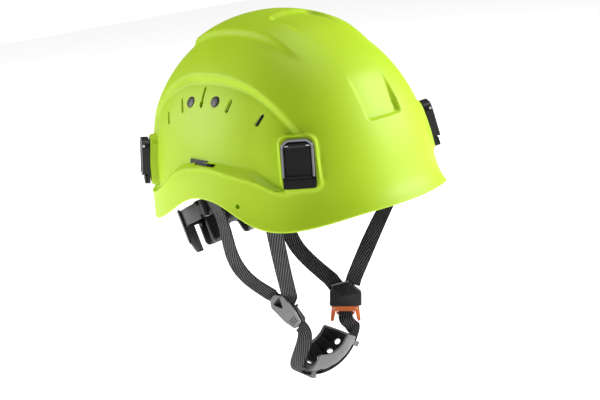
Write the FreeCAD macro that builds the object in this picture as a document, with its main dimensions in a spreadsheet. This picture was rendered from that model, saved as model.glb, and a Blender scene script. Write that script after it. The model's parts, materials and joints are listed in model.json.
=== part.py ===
import FreeCAD, Part
import math
import os

import Sketcher

# Climbing helmet. Millimetres, +Z up, front of the helmet at -Y, the wearer's left at +X.
# The origin is the middle of the head opening, level with the corners of the brim.
# phi is the plan angle from the front: positive towards the wearer's right (-X).

V = FreeCAD.Vector
doc = FreeCAD.newDocument("climbing_helmet")
sheet = doc.addObject("Spreadsheet::Sheet", "Sizes")

DRIVING = {
    "halfWidth": 110, "halfLength": 132, "crownHeight": 159.5, "waistHeight": 23,
    "planPower": 2.3, "sidePower": 2.05, "wallThick": 3, "wallDraft": 0.03,
    "flareWide": 10.4, "flareTight": 4.7,
    "ventDepth": 30, "plugRadius": 5, "rimHoleRadius": 2, "slotLength": 30, "slotWidth": 3.6,
    "clipWidth": 27, "clipHeight": 40, "clipPlate": 2, "clipGap": 2, "flapThick": 2,
    "clipPinRadius": 1.2, "fitGap": 0.05,
    "bandHalfWidth": 80, "bandHalfLength": 100, "bandCentre": 6, "bandThick": 2, "bandHeight": 22,
    "bandBottom": 24, "sweatThick": 3, "webWidth": 15, "webThick": 1.6, "cradleWidth": 20,
    "pegRadius": 3, "pegHeight": 10, "napeDrop": 23, "armPinRadius": 2, "armThick": 2.4, "armHeight": 15,
    "rackHeight": 4.5, "pinionRadius": 5, "knobRadius": 17, "knobDepth": 13, "shaftRadius": 3.5,
    "housingHalf": 33, "housingTop": 15, "coverThick": 2, "napePadThick": 5,
    "tongueThick": 2.4, "buckleWidth": 31, "buckleHeight": 23, "plateThick": 2.2,
    "cupRadius": 45, "cupThick": 2, "linerThick": 2.5, "cupLength": 58, "cupDepth": 42, "cupLip": 19,
}
for row, (alias, value) in enumerate(DRIVING.items(), start=1):
    sheet.set("A%d" % row, alias)
    sheet.set("B%d" % row, str(value))
    sheet.setAlias("B%d" % row, alias)
doc.recompute()


def size(alias):
    return float(getattr(sheet, alias))


def cell(text):
    """Expression with every alias written as @alias, as the document binds it."""
    return text.replace("@", "Sizes.")


SUBPARTS = []


def keep(obj, label):
    obj.Label = label
    SUBPARTS.append(obj)
    return obj


def placed(origin, xAxis, zAxis):
    """Placement whose local x and z run along the given directions."""
    z = V(zAxis).normalize()
    x = (V(xAxis) - z * V(xAxis).dot(z)).normalize()
    return FreeCAD.Placement(V(origin), FreeCAD.Rotation(x, z.cross(x), z, "ZXY"))


def shapePart(label, shape, placement=FreeCAD.Placement()):
    """A piece made with Part's own functions."""
    obj = doc.addObject("Part::Feature", label)
    obj.Shape = shape.removeSplitter() if shape.ShapeType in ("Solid",) else shape
    obj.Placement = placement
    return keep(obj, label)


def groupPart(label, members):
    group = doc.addObject("Part::Compound", label)
    group.Links = members
    return keep(group, label)


def primitive(kind, name, placement, **sizes):
    obj = doc.addObject(kind, name)
    for prop, text in sizes.items():
        obj.setExpression(prop, cell(text))
    obj.Placement = placement
    return obj


def newBody(label, placement=FreeCAD.Placement()):
    body = doc.addObject("PartDesign::Body", label)
    body.Placement = placement
    return keep(body, label)


def newSketch(body, plane, offset=V(0, 0, 0)):
    sketch = body.newObject("Sketcher::SketchObject", body.Name + "_sketch")
    origin = [f for f in body.Origin.OriginFeatures if f.Role == plane][0]
    sketch.AttachmentSupport = [(origin, "")]
    sketch.MapMode = "FlatFace"
    sketch.AttachmentOffset = FreeCAD.Placement(offset, FreeCAD.Rotation())
    return sketch


def drawRectangle(sketch, wide, tall, centre=(0, 0)):
    """A rectangle about its centre, with its two sizes bound to the sheet."""
    x, y = centre
    corners = [V(x - 1, y - 1, 0), V(x + 1, y - 1, 0), V(x + 1, y + 1, 0), V(x - 1, y + 1, 0)]
    first = sketch.GeometryCount
    for i in range(4):
        sketch.addGeometry(Part.LineSegment(corners[i], corners[(i + 1) % 4]), False)
    for i in range(4):
        sketch.addConstraint(Sketcher.Constraint("Coincident", first + i, 2, first + (i + 1) % 4, 1))
    for i in (0, 2):
        sketch.addConstraint(Sketcher.Constraint("Horizontal", first + i))
        sketch.addConstraint(Sketcher.Constraint("Vertical", first + i + 1))
    middle = sketch.addGeometry(Part.Point(V(x, y, 0)), True)
    sketch.addConstraint(Sketcher.Constraint("Block", middle))
    sketch.addConstraint(Sketcher.Constraint("Symmetric", first, 1, first + 1, 2, middle, 1))
    across = sketch.addConstraint(Sketcher.Constraint("DistanceX", first, 1, first, 2, 2))
    upward = sketch.addConstraint(Sketcher.Constraint("DistanceY", first + 1, 1, first + 1, 2, 2))
    sketch.setExpression("Constraints[%d]" % across, cell(wide))
    sketch.setExpression("Constraints[%d]" % upward, cell(tall))


def drawCircle(sketch, radius, centre=(0, 0)):
    index = sketch.addGeometry(Part.Circle(V(centre[0], centre[1], 0), V(0, 0, 1), 1), False)
    sketch.addConstraint(Sketcher.Constraint("DistanceX", -1, 1, index, 3, centre[0]))
    sketch.addConstraint(Sketcher.Constraint("DistanceY", -1, 1, index, 3, centre[1]))
    bound = sketch.addConstraint(Sketcher.Constraint("Radius", index, 1))
    sketch.setExpression("Constraints[%d]" % bound, cell(radius))


def drawOutline(sketch, points):
    """A closed outline; a point with a third value rounds its corner by that radius."""
    for edge in roundedEdges(points):
        sketch.addGeometry(edge, False)


def roundedEdges(points):
    """Lines joined by tangent arcs at the corners that have a radius."""
    count = len(points)
    entries, exits, arcs = [], [], []
    for i in range(count):
        here = V(points[i][0], points[i][1], 0)
        before = (V(points[i - 1][0], points[i - 1][1], 0) - here).normalize()
        after = (V(points[(i + 1) % count][0], points[(i + 1) % count][1], 0) - here).normalize()
        radius = points[i][2] if len(points[i]) > 2 else 0
        if radius:
            half = before.getAngle(after) / 2
            reach = radius / math.tan(half)
            bisector = (before + after).normalize()
            middle = here + bisector * (radius / math.sin(half) - radius)
            entries.append(here + before * reach)
            exits.append(here + after * reach)
            arcs.append(Part.Arc(entries[-1], middle, exits[-1]))
        else:
            entries.append(here)
            exits.append(here)
            arcs.append(None)
    edges = []
    for i in range(count):
        if arcs[i]:
            edges.append(arcs[i])
        start, end = exits[i], entries[(i + 1) % count]
        if start.distanceToPoint(end) > 1e-6:
            edges.append(Part.LineSegment(start, end))
    return edges


def outlineFace(points):
    edges = [e.toShape() for e in roundedEdges(points)]
    return Part.Face(Part.Wire(Part.__sortEdges__(edges)))


def padded(body, sketch, length, kind="PartDesign::Pad"):
    doc.recompute()
    feature = body.newObject(kind, body.Name + "_feature")
    feature.Profile = sketch
    feature.setExpression("Length", cell(length))
    if kind == "PartDesign::Pocket":
        feature.Midplane = True
    sketch.Visibility = False
    body.Tip = feature
    doc.recompute()
    return feature


RIM = [(0, 10), (22, 8), (44, -1), (58, 1.5), (74, 17), (84, 20.5), (94, 18), (112, 1.5),
       (132, -14), (155, -16), (180, -14)]    # plan angle, height of the rim


def rimCurve():
    """Rim height round the whole shell: a periodic spline through the control heights."""
    mirrored = [(360 - a, h) for a, h in RIM[-2:0:-1]]
    spline = Part.BSplineCurve()
    spline.interpolate([V(a, h, 0) for a, h in RIM + mirrored + [(360, RIM[0][1])]])
    return spline


RIMSPLINE = rimCurve()


def rimHeight(phi):
    angle = phi % 360
    low, high = RIMSPLINE.FirstParameter, RIMSPLINE.LastParameter
    for _ in range(40):
        middle = (low + high) / 2
        if RIMSPLINE.value(middle).x < angle:
            low = middle
        else:
            high = middle
    return RIMSPLINE.value((low + high) / 2).y


def shellPoint(phi, height, inset=0.0):
    """Superellipse plan, superelliptic crown, slight draft under the waist, flare above the brim."""
    a, b = size("halfWidth") - inset, size("halfLength") - inset
    waist, top = size("waistHeight"), size("crownHeight") - inset
    angle = math.radians(phi)
    n = size("planPower")
    reach = (abs(math.sin(angle) / a) ** n + abs(math.cos(angle) / b) ** n) ** (-1 / n)
    rise = (height - waist) / (top - waist)
    if rise > 0:
        reach *= max(0.0, 1 - min(rise, 1.0) ** size("sidePower")) ** (1 / size("sidePower"))
    else:
        reach *= 1 - size("wallDraft") * rise
    turn = (phi + 180) % 360 - 180
    above = max(0.0, height - rimHeight(phi))
    reach += size("flareWide") * math.exp(-(turn / 65) ** 2) * math.exp(-above / 31)
    reach += size("flareTight") * math.exp(-(turn / 80) ** 2) * math.exp(-above / 9.4)
    return V(-reach * math.sin(angle), -reach * math.cos(angle), height)


def shellFrame(phi, height, lift=0.0):
    """Placement on the shell: local x level along it, y up along it, z outwards."""
    here = shellPoint(phi, height)
    along = shellPoint(phi - 0.5, height) - shellPoint(phi + 0.5, height)
    up = shellPoint(phi, height + 0.5) - shellPoint(phi, height - 0.5)
    outward = along.cross(up).normalize()
    if outward.dot(V(here.x, here.y, 0)) < 0:
        outward = outward * -1
        along = along * -1
    return placed(here + outward * lift, along, outward)


def domeSolid(inset):
    """Closed dome, lofted through level sections from below the rim to the crown."""
    top = size("crownHeight") - inset
    waist = size("waistHeight")
    levels = [-30, -18, -8, 0, 7, 14] + [waist + (top - waist) * math.sin(math.radians(t))
                                         for t in (0, 8, 16, 24, 32, 40, 48, 56, 64, 71, 77, 82, 86)]
    wires = []
    for level in levels:
        ring = Part.BSplineCurve()
        ring.interpolate(Points=[shellPoint(k * 7.5, level, inset) for k in range(48)], PeriodicFlag=True)
        wires.append(Part.Wire(ring.toShape()))
    return Part.makeLoft(wires, True, False)


def rimCutter():
    """Everything below the rim line."""
    def ring(radius):
        curve = Part.BSplineCurve()
        angles = [k * 5 for k in range(72)]
        curve.interpolate(Points=[V(-radius * math.sin(math.radians(a)), -radius * math.cos(math.radians(a)),
                                    rimHeight(a)) for a in angles], PeriodicFlag=True)
        return curve.toShape()
    return Part.makeRuledSurface(ring(40), ring(220)).extrude(V(0, 0, -90))


VENTS = [((122.5, 86.5), (118.5, 76.0), 2.6), ((113.5, 99.6), (108.5, 88.1), 3.0),
         ((95.5, 111.7), (94.0, 94.1), 4.2), ((72.5, 103.5), (75.0, 91.9), 5.0),
         ((53.5, 91.9), (57.5, 82.1), 5.4)]    # upper end, lower end as plan angle and height, width
PLUGS = [(104.0, 98.0), (84.0, 100.2)]
CLIPS = {"front_right": (39.5, 51.0), "front_left": (-39.5, 51.0),
         "rear_right": (136.0, 38.0), "rear_left": (-136.0, 38.0)}
ACCESSORYSLOT = (85.0, 49.5)
RIMHOLE = (65.5, 16.5)


def slotTool(upper, lower, wide):
    """A round-ended slot cut straight through the wall."""
    top, bottom = shellPoint(*upper), shellPoint(*lower)
    middle = (top + bottom) * 0.5
    frame = shellFrame((upper[0] + lower[0]) / 2, middle.z)
    outward = frame.Rotation.multVec(V(0, 0, 1))
    place = placed(middle - outward * size("ventDepth") / 2, top - bottom, outward)
    reach = (top - bottom).Length / 2 - wide / 2
    corners = [(-reach - wide / 2, -wide / 2, wide * 0.45), (reach + wide / 2, -wide / 2, wide * 0.45),
               (reach + wide / 2, wide / 2, wide * 0.45), (-reach - wide / 2, wide / 2, wide * 0.45)]
    tool = outlineFace(corners).extrude(V(0, 0, size("ventDepth")))
    tool.Placement = place
    return tool


def wallHole(phi, height, radius):
    tool = Part.makeCylinder(radius, 24, V(0, 0, -12))
    tool.Placement = shellFrame(phi, height)
    return tool


def boxAbout(wide, tall, deep, placement):
    box = Part.makeBox(wide, tall, deep, V(-wide / 2, -tall / 2, -deep / 2))
    box.Placement = placement
    return box


STEMWIDE, STEMTALL = 16, 22    # stem of a lamp clip base, through the wall


def makeShell():
    shell = domeSolid(0).cut(domeSolid(size("wallThick"))).cut(rimCutter())
    tools = []
    for side in (1, -1):
        for upper, lower, wide in VENTS:
            tools.append(slotTool((side * upper[0], upper[1]), (side * lower[0], lower[1]), wide))
        for phi, height in PLUGS:
            tools.append(wallHole(side * phi, height, size("plugRadius")))
        tools.append(wallHole(side * RIMHOLE[0], RIMHOLE[1], size("rimHoleRadius")))
        tools.append(boxAbout(size("slotLength"), size("slotWidth"), 20,
                              shellFrame(side * ACCESSORYSLOT[0], ACCESSORYSLOT[1])))
    for phi, height in CLIPS.values():
        tools.append(boxAbout(STEMWIDE + 0.2, STEMTALL + 0.2, 24, shellFrame(phi, height)))
    shell = shell.cut(tools)
    biggest = max(shell.Solids, key=lambda s: s.Volume)
    shapePart("shell", biggest)


def makePlugs():
    """Round plugs that close the two round openings of each side."""
    for side, word in ((1, "right"), (-1, "left")):
        members = []
        for i, (phi, height) in enumerate(PLUGS):
            place = shellFrame(side * phi, height, -size("wallThick") - 1)
            members.append(primitive("Part::Cylinder", "plug_%s_%d" % (word, i), place,
                                     Radius="@plugRadius - @fitGap", Height="@wallThick + 1.4"))
        groupPart("round_plugs_" + word, members)


FLAPWIDE, FLAPTALL, FLAPTOP = 20.4, 27.0, 15.4    # flap inside its bezel, and its pin above the middle
PLATELIFT = 1.5    # the plate stands off the curved wall by this


def makeClipBase(word, place):
    """Plate with a stem through the wall, a raised bezel on three sides and a block under the flap."""
    wide, tall = size("clipWidth"), size("clipHeight")
    lift, plate = PLATELIFT, size("clipPlate")
    body = newBody("lamp_clip_base_" + word, place)
    outline = newSketch(body, "XY_Plane", V(0, 0, lift))
    drawOutline(outline, [(-wide / 2, -tall / 2, 2), (wide / 2, -tall / 2, 2),
                          (wide / 2, tall / 2, 8), (-wide / 2, tall / 2, 8)])
    padded(body, outline, "@clipPlate")
    stem = newSketch(body, "XY_Plane", V(0, 0, -size("wallThick") - 2.5))
    drawRectangle(stem, "%d" % STEMWIDE, "%d" % STEMTALL)
    padded(body, stem, "@wallThick + 2.5 + %s" % (lift + 0.5))
    bezel = newSketch(body, "XY_Plane", V(0, 0, lift + plate - 0.2))
    inner = FLAPWIDE / 2 + 0.5
    edge = -tall / 2 + 9
    drawOutline(bezel, [(-wide / 2, edge), (-inner, edge), (-inner, tall / 2 - 2.6, 5.6),
                        (inner, tall / 2 - 2.6, 5.6), (inner, edge), (wide / 2, edge),
                        (wide / 2, tall / 2, 8), (-wide / 2, tall / 2, 8)])
    padded(body, bezel, "@clipGap + @flapThick + 0.6")
    block = newSketch(body, "XY_Plane", V(0, 0, lift + plate - 0.2))
    drawOutline(block, [(-wide / 2, -tall / 2, 2), (wide / 2, -tall / 2, 2),
                        (wide / 2 - 1, -tall / 2 + 7.2), (-wide / 2 + 1, -tall / 2 + 7.2)])
    padded(body, block, "@clipGap + 1")
    bore = newSketch(body, "YZ_Plane")
    pinLevel = lift + plate + size("clipGap") + size("flapThick") / 2
    drawCircle(bore, "@clipPinRadius", (FLAPTOP - 0.6, pinLevel))
    padded(body, bore, "@clipWidth + 4", "PartDesign::Pocket")


def makeClipFlap(word, place):
    """Rounded flap on a knuckle, with a finger lip along its free lower edge."""
    low = PLATELIFT + size("clipPlate") + size("clipGap")
    body = newBody("lamp_clip_flap_" + word, place)
    half = FLAPWIDE / 2
    leaf = newSketch(body, "XY_Plane", V(0, 0, low))
    foot = FLAPTOP - 0.6 - FLAPTALL
    drawOutline(leaf, [(-half, foot, 1.5), (half, foot, 1.5), (half, FLAPTOP + 0.8, 4.5),
                       (-half, FLAPTOP + 0.8, 4.5)])
    padded(body, leaf, "@flapThick")
    lip = newSketch(body, "XY_Plane", V(0, 0, low + size("flapThick") - 0.2))
    drawRectangle(lip, "%s" % FLAPWIDE, "2.2", (0, foot + 1.1))
    padded(body, lip, "1.6")
    barrel = newSketch(body, "YZ_Plane", V(0, 0, -7))
    drawCircle(barrel, "@clipPinRadius + 1", (FLAPTOP - 0.6, low + size("flapThick") / 2))
    padded(body, barrel, "14")
    bore = newSketch(body, "YZ_Plane")
    drawCircle(bore, "@clipPinRadius + @fitGap", (FLAPTOP - 0.6, low + size("flapThick") / 2))
    padded(body, bore, "@clipWidth + 4", "PartDesign::Pocket")


def makeClips():
    pins = []
    for word, (phi, height) in CLIPS.items():
        place = shellFrame(phi, height)
        makeClipBase(word, place)
        makeClipFlap(word, place)
        middle = V(-size("clipWidth") / 2 + 0.5, FLAPTOP - 0.6,
                   PLATELIFT + size("clipPlate") + size("clipGap") + size("flapThick") / 2)
        across = placed(V(0, 0, 0), V(0, 1, 0), V(1, 0, 0))
        spot = place.multiply(FreeCAD.Placement(middle, across.Rotation))
        pins.append(primitive("Part::Cylinder", "clip_pin_" + word, spot,
                              Radius="@clipPinRadius", Height="@clipWidth - 1"))
    groupPart("lamp_clip_pins", pins)


def webbing(centres, sides, wide, thick):
    """Flat webbing through the given stations: a rectangle whose long side follows the given directions."""
    wires = []
    last = len(centres) - 1
    for k, (centre, side) in enumerate(zip(centres, sides)):
        tangent = (centres[min(k + 1, last)] - centres[max(k - 1, 0)]).normalize()
        side = (side - tangent * side.dot(tangent)).normalize()
        out = tangent.cross(side)
        corners = [centre + side * (a * wide / 2) + out * (b * thick / 2)
                   for a, b in ((-1, -1), (1, -1), (1, 1), (-1, 1))]
        wires.append(Part.makePolygon(corners + corners[:1]))
    return Part.makeLoft(wires, True, True)


def turned(first, last, steps):
    """Directions that turn evenly from the first to the last."""
    return [first * (1 - k / steps) + last * (k / steps) for k in range(steps + 1)]


def ribbon(points, firstSide, lastSide, wide, thick, steps=12):
    """Webbing along a smooth curve through a few points."""
    curve = Part.BSplineCurve()
    curve.interpolate([V(*p) for p in points])
    first, last = curve.FirstParameter, curve.LastParameter
    centres = [curve.value(first + (last - first) * k / steps) for k in range(steps + 1)]
    return webbing(centres, turned(firstSide, lastSide, steps), wide, thick)


def bridge(start, leave, arrive, end, steps):
    """Stations of a cubic curve between two points, with a handle at each end."""
    curve = Part.BezierCurve()
    curve.setPoles([start, start + leave, end - arrive, end])
    return [curve.value(k / steps) for k in range(steps + 1)]


CRADLE = [20, 90, 160]    # plan angles of the cradle's anchors, on each side
ANCHORHEIGHT = 44
CRADLETOP = 117    # height of the lowest strap at the crown
HANGERS = [26, 64]    # plan angles of the headband's tabs, on each side


def makeAnchors():
    members = []
    for side in (1, -1):
        for phi in CRADLE:
            place = shellFrame(side * phi, ANCHORHEIGHT, -size("wallThick") - 4.2)
            base = place.multiply(FreeCAD.Placement(V(-11, -7, -2.5), FreeCAD.Rotation()))
            members.append(primitive("Part::Box", "anchor_block", base, Length="@cradleWidth + 2",
                                     Width="14", Height="5"))
    groupPart("cradle_anchors", members)


def makeCradle():
    """Three straps from anchor to anchor, one over the other at the crown."""
    lines = ((CRADLE[0], "front_right"), (CRADLE[1], "across"), (-CRADLE[0], "front_left"))
    foot = ANCHORHEIGHT + 4
    for i, (phi, word) in enumerate(lines):
        start = shellPoint(phi, ANCHORHEIGHT, 13.5)
        end = shellPoint(phi + 180, ANCHORHEIGHT, 13.5)
        top = CRADLETOP + 2.6 * i    # each strap clears the one under it
        points = []
        for k in range(9):
            turn = math.pi * k / 8
            edge = start if turn <= math.pi / 2 else end
            scale = abs(math.cos(turn))
            points.append((edge.x * scale, edge.y * scale, foot + (top - foot) * math.sin(turn)))
        flat = V(0, 0, 1).cross(start - end).normalize()
        shapePart("cradle_strap_" + word,
                  ribbon(points, flat, flat, size("cradleWidth"), size("webThick"), 24))
    pad = primitive("Part::Cylinder", "crown_pad", FreeCAD.Placement(V(0, 0, 104), FreeCAD.Rotation()),
                    Radius="36", Height="6")
    keep(pad, "crown_pad")


def bandRing(halfWide, halfLong, thick, low, high):
    """Elliptical band with a level top and bottom."""
    centre = V(0, size("bandCentre"), low)

    def plate(inset):
        curve = Part.Ellipse(centre + V(0, halfLong - inset, 0), centre + V(halfWide - inset, 0, 0), centre)
        return Part.Face(Part.Wire(curve.toShape())).extrude(V(0, 0, high - low))
    return plate(0).cut(plate(thick))


def makeHeadband():
    low, high = size("bandBottom"), size("bandBottom") + size("bandHeight")
    ring = bandRing(size("bandHalfWidth"), size("bandHalfLength"), size("bandThick"), low, high)
    front = Part.makeBox(240, 130, 60, V(-120, -118, low - 10))
    shapePart("headband_front", ring.common(front).Solids[0])
    inset = size("bandThick") + 0.3
    sweat = bandRing(size("bandHalfWidth") - inset, size("bandHalfLength") - inset, size("sweatThick"),
                     low - 1, high + 1)
    brow = Part.makeBox(240, 90, 60, V(-120, -118, low - 10))
    shapePart("sweatband", sweat.common(brow).Solids[0])


def bandPoint(phi, outset):
    """Point in plan on the headband's ellipse."""
    angle = math.radians(phi)
    a, b = size("bandHalfWidth") + outset, size("bandHalfLength") + outset
    reach = (math.sin(angle) ** 2 / a ** 2 + math.cos(angle) ** 2 / b ** 2) ** -0.5
    return V(-reach * math.sin(angle), size("bandCentre") - reach * math.cos(angle), 0)


def makeHangers():
    """Tabs that carry the headband on the two front pairs of anchors."""
    members = []
    for side in (1, -1):
        for phi in HANGERS:
            inner = bandPoint(side * phi, 0.4)
            outer = shellPoint(side * phi * 1.05, ANCHORHEIGHT, 11.5)
            away = V(outer.x - inner.x, outer.y - inner.y, 0).normalize()
            flat = V(0, 0, 1).cross(away)
            low = size("bandBottom") + 6
            path = [inner + away * out + V(0, 0, low + rise) for out, rise in ((1.8, 0), (2.2, 12), (3, 24))]
            piece = doc.addObject("Part::Feature", "hanger")
            piece.Shape = ribbon([tuple(p) for p in path], flat, flat, 12, 1.4, 4)
            members.append(piece)
    groupPart("headband_hangers", members)


NAPE = FreeCAD.Placement(V(0, 0, size("pegHeight")), FreeCAD.Rotation(V(1, 0, 0), -size("napeDrop")))
RACKLINE = 104.0    # local y of the racks inside the housing
ARMPIN = (84.6, 24.0)    # local x and y of the arms' pins
HOUSINGBACK = RACKLINE + 4.6


def sidePlate(label, inner, outline, side, place, hole):
    """Flat plate standing in the YZ plane beside the head, with one bore."""
    body = newBody(label, place)
    sketch = newSketch(body, "YZ_Plane", V(0, 0, inner if side > 0 else -inner - size("bandThick")))
    drawOutline(sketch, outline)
    padded(body, sketch, "@bandThick")
    bore = newSketch(body, "YZ_Plane")
    drawCircle(bore, hole)
    padded(body, bore, "300", "PartDesign::Pocket")
    return body


def makePivots():
    """Brackets on the headband, pegs through them, and the lugs that swing on the pegs."""
    high = size("bandBottom") + size("bandHeight") - size("pegHeight") - 2
    level = FreeCAD.Placement(V(0, 0, size("pegHeight")), FreeCAD.Rotation())
    pegs = []
    for side, word in ((-1, "right"), (1, "left")):
        bracket = [(-9, -8, 7), (9, -8, 7), (10, high, 3), (-10, high, 3)]
        sidePlate("headband_bracket_" + word, 80.4, bracket, side, level, "@pegRadius")
        head = placed(V(side * 80.6, 0, size("pegHeight")), V(0, 1, 0), V(side, 0, 0))
        shaft = primitive("Part::Cylinder", "peg_shaft", head, Radius="@pegRadius", Height="6.6")
        cap = primitive("Part::Cylinder", "peg_cap",
                        placed(V(side * 86.6, 0, size("pegHeight")), V(0, 1, 0), V(side, 0, 0)),
                        Radius="@pegRadius + 2.4", Height="1.8")
        peg = doc.addObject("Part::Fuse", "peg_" + word)
        peg.Base, peg.Tool = shaft, cap
        pegs.append(peg)
    groupPart("pivot_pegs", pegs)
    for side, word in ((-1, "right"), (1, "left")):
        makeLug(word, side)


def makeLug(word, side):
    """Lug with a bore for the peg in front and an upright knuckle for the arm behind."""
    x0 = 83.4
    plate = outlineFace([(-9, -8, 7), (16.4, -6.4), (16.4, 6.4), (-9, 8, 7)]).extrude(V(0, 0, 2.4))
    plate.Placement = placed(V(x0, 0, 0), V(0, 1, 0), V(1, 0, 0))
    plate = plate.cut(Part.makeCylinder(size("pegRadius") + size("fitGap"), 12, V(x0 - 4, 0, 0), V(1, 0, 0)))
    pieces = plate
    for low in (-7.5, 4.5):
        ear = Part.makeCylinder(3.8, 3, V(ARMPIN[0], ARMPIN[1], low))
        bridge = Part.makeBox(2.4, ARMPIN[1] - 15.5, 3, V(x0, 15.5, low))
        pieces = pieces.fuse([ear, bridge])
    pieces = pieces.cut(Part.makeCylinder(size("armPinRadius"), 30, V(ARMPIN[0], ARMPIN[1], -15)))
    if side < 0:
        pieces = pieces.mirror(V(0, 0, 0), V(1, 0, 0))
    shapePart("nape_lug_" + word, pieces.Solids[0], NAPE)


def armPath(outset):
    """Plan of the left arm: round the side of the head, then straight through the housing."""
    points = [(ARMPIN[0] + outset * 0.9, ARMPIN[1] + 4.6), (81.5 + outset, 50),
              (70 + outset * 0.8, 80 + outset * 0.6), (52 + outset * 0.5, 98.5 + outset * 0.9),
              (34, RACKLINE + outset)]
    curve = Part.BSplineCurve()
    curve.interpolate([V(x, y, 0) for x, y in points])
    return curve


def makeArm(word, side):
    """Arm with a knuckle in front and a toothed strip that runs past the middle behind."""
    thick, tall = size("armThick"), size("armHeight")
    inner, outer = armPath(-thick / 2), armPath(thick / 2)
    start = [Part.LineSegment(outer.value(outer.FirstParameter), inner.value(inner.FirstParameter))]
    end = [Part.LineSegment(inner.value(inner.LastParameter), outer.value(outer.LastParameter))]
    wire = Part.Wire(Part.__sortEdges__([c.toShape() for c in [inner, outer] + start + end]))
    arm = Part.Face(wire).extrude(V(0, 0, tall))
    arm.translate(V(0, 0, -tall / 2))
    barrel = Part.makeCylinder(3.6, 8.6, V(ARMPIN[0], ARMPIN[1], -4.3))
    neck = Part.makeBox(2.6, 7.5, 8.6, V(ARMPIN[0] - 1.3, ARMPIN[1] + 1, -4.3))
    # the strip lies above the pinion on one arm and below it on the other
    level = size("pinionRadius") + 0.9
    low = level if side > 0 else -level - size("rackHeight")
    strip = Part.makeBox(50, 2, size("rackHeight"), V(-15, RACKLINE - 1, low))
    teeth = []
    for k in range(16):
        foot = low if side > 0 else low + size("rackHeight")
        teeth.append(Part.makeBox(1.1, 2.6, 1.6, V(-14 + k * 2.4, RACKLINE - 1.3, foot - 0.8)))
    arm = arm.fuse([barrel, neck, strip]).cut(teeth)
    slot = Part.makeBox(7, 20, 30, V(ARMPIN[0] - 3.5, ARMPIN[1] - 10, 4.3))
    slot2 = Part.makeBox(7, 20, 30, V(ARMPIN[0] - 3.5, ARMPIN[1] - 10, -34.3))
    arm = arm.cut([slot, slot2, Part.makeCylinder(size("armPinRadius") + size("fitGap"), 30,
                                                 V(ARMPIN[0], ARMPIN[1], -15))])
    if side < 0:
        arm = arm.mirror(V(0, 0, 0), V(1, 0, 0))
    shapePart("rack_arm_" + word, max(arm.Solids, key=lambda s: s.Volume), NAPE)


def makeWing(word, side):
    """Curved plate outside the arm that cradles the neck, from just over the arm to well under it."""
    outset = size("armThick") / 2 + 0.3
    curves = [armPath(outset), armPath(outset + size("coverThick"))]
    edges, ends = [], []
    for curve in curves:
        low, high = curve.parameter(V(75, 74, 0)), curve.parameter(V(42, 101.5, 0))
        edges.append(curve.toShape(low, high))
        ends.append((curve.value(low), curve.value(high)))
    edges += [Part.makeLine(ends[0][0], ends[1][0]), Part.makeLine(ends[0][1], ends[1][1])]
    plate = Part.Face(Part.Wire(Part.__sortEdges__(edges))).extrude(V(0, 0, 42))
    plate.translate(V(0, 0, -33))
    taper = Part.makeBox(60, 80, 60, V(0, 0, -60))
    taper.Placement = FreeCAD.Placement(V(66, 40, -16), FreeCAD.Rotation(V(0, 1, 0), 38))
    plate = plate.cut(taper)
    if side < 0:
        plate = plate.mirror(V(0, 0, 0), V(1, 0, 0))
    shapePart("nape_wing_" + word, max(plate.Solids, key=lambda s: s.Volume), NAPE)


def makeArmPins():
    members = []
    for side in (-1, 1):
        spot = NAPE.multiply(FreeCAD.Placement(V(side * ARMPIN[0], ARMPIN[1], -8), FreeCAD.Rotation()))
        members.append(primitive("Part::Cylinder", "arm_pin", spot, Radius="@armPinRadius", Height="16"))
    groupPart("arm_pins", members)


def coverOutline(grow):
    """Front view of the nape housing: a bar with two wings that reach down."""
    half, top = size("housingHalf") + grow, size("housingTop") + grow
    return [(-half, -30 - grow, 5), (-half + 16, -30 - grow, 5), (-half + 20, -16 - grow, 4),
            (half - 20, -16 - grow, 4), (half - 16, -30 - grow, 5), (half, -30 - grow, 5),
            (half, top, 7), (-half, top, 7)]


def upright(y):
    """Local placement of a plate in the nape frame: drawn x across, y up, extruded to the rear."""
    turn = FreeCAD.Rotation(V(1, 0, 0), V(0, 0, 1), V(0, -1, 0), "ZXY")
    return NAPE.multiply(FreeCAD.Placement(V(0, y, 0), turn))


def makeHousing():
    thick, half = size("coverThick"), size("housingHalf")
    front = RACKLINE - 4.6
    body = newBody("nape_housing_front", upright(front))
    plate = newSketch(body, "XY_Plane")
    drawOutline(plate, coverOutline(0))
    padded(body, plate, "@coverThick")
    rear = newBody("nape_housing_rear", upright(HOUSINGBACK + thick))
    plate = newSketch(rear, "XY_Plane")
    drawOutline(plate, coverOutline(0))
    padded(rear, plate, "@coverThick")
    for low, high in ((size("housingTop") - 2.2, size("housingTop") - 0.2), (-15.6, -13.6)):
        wall = newSketch(rear, "XY_Plane", V(0, 0, thick - 0.2))
        drawRectangle(wall, "2 * @housingHalf - 16", "2", (0, (low + high) / 2))
        padded(rear, wall, "%s" % (HOUSINGBACK - front))    # reaches the inside of the front cover
    bore = newSketch(rear, "XY_Plane")
    drawCircle(bore, "@shaftRadius + @fitGap")
    padded(rear, bore, "60", "PartDesign::Pocket")
    pad = newBody("nape_pad", upright(front - thick - 0.3))
    sketch = newSketch(pad, "XY_Plane")
    drawOutline(sketch, coverOutline(-3))
    padded(pad, sketch, "@napePadThick")
    screws = []
    for side in (-1, 1):
        spot = upright(HOUSINGBACK + thick + 1.4).multiply(
            FreeCAD.Placement(V(side * (half - 8), -23, 0), FreeCAD.Rotation()))
        screws.append(primitive("Part::Cylinder", "cover_screw", spot, Radius="2.4", Height="1.3"))
    groupPart("housing_screws", screws)


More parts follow.
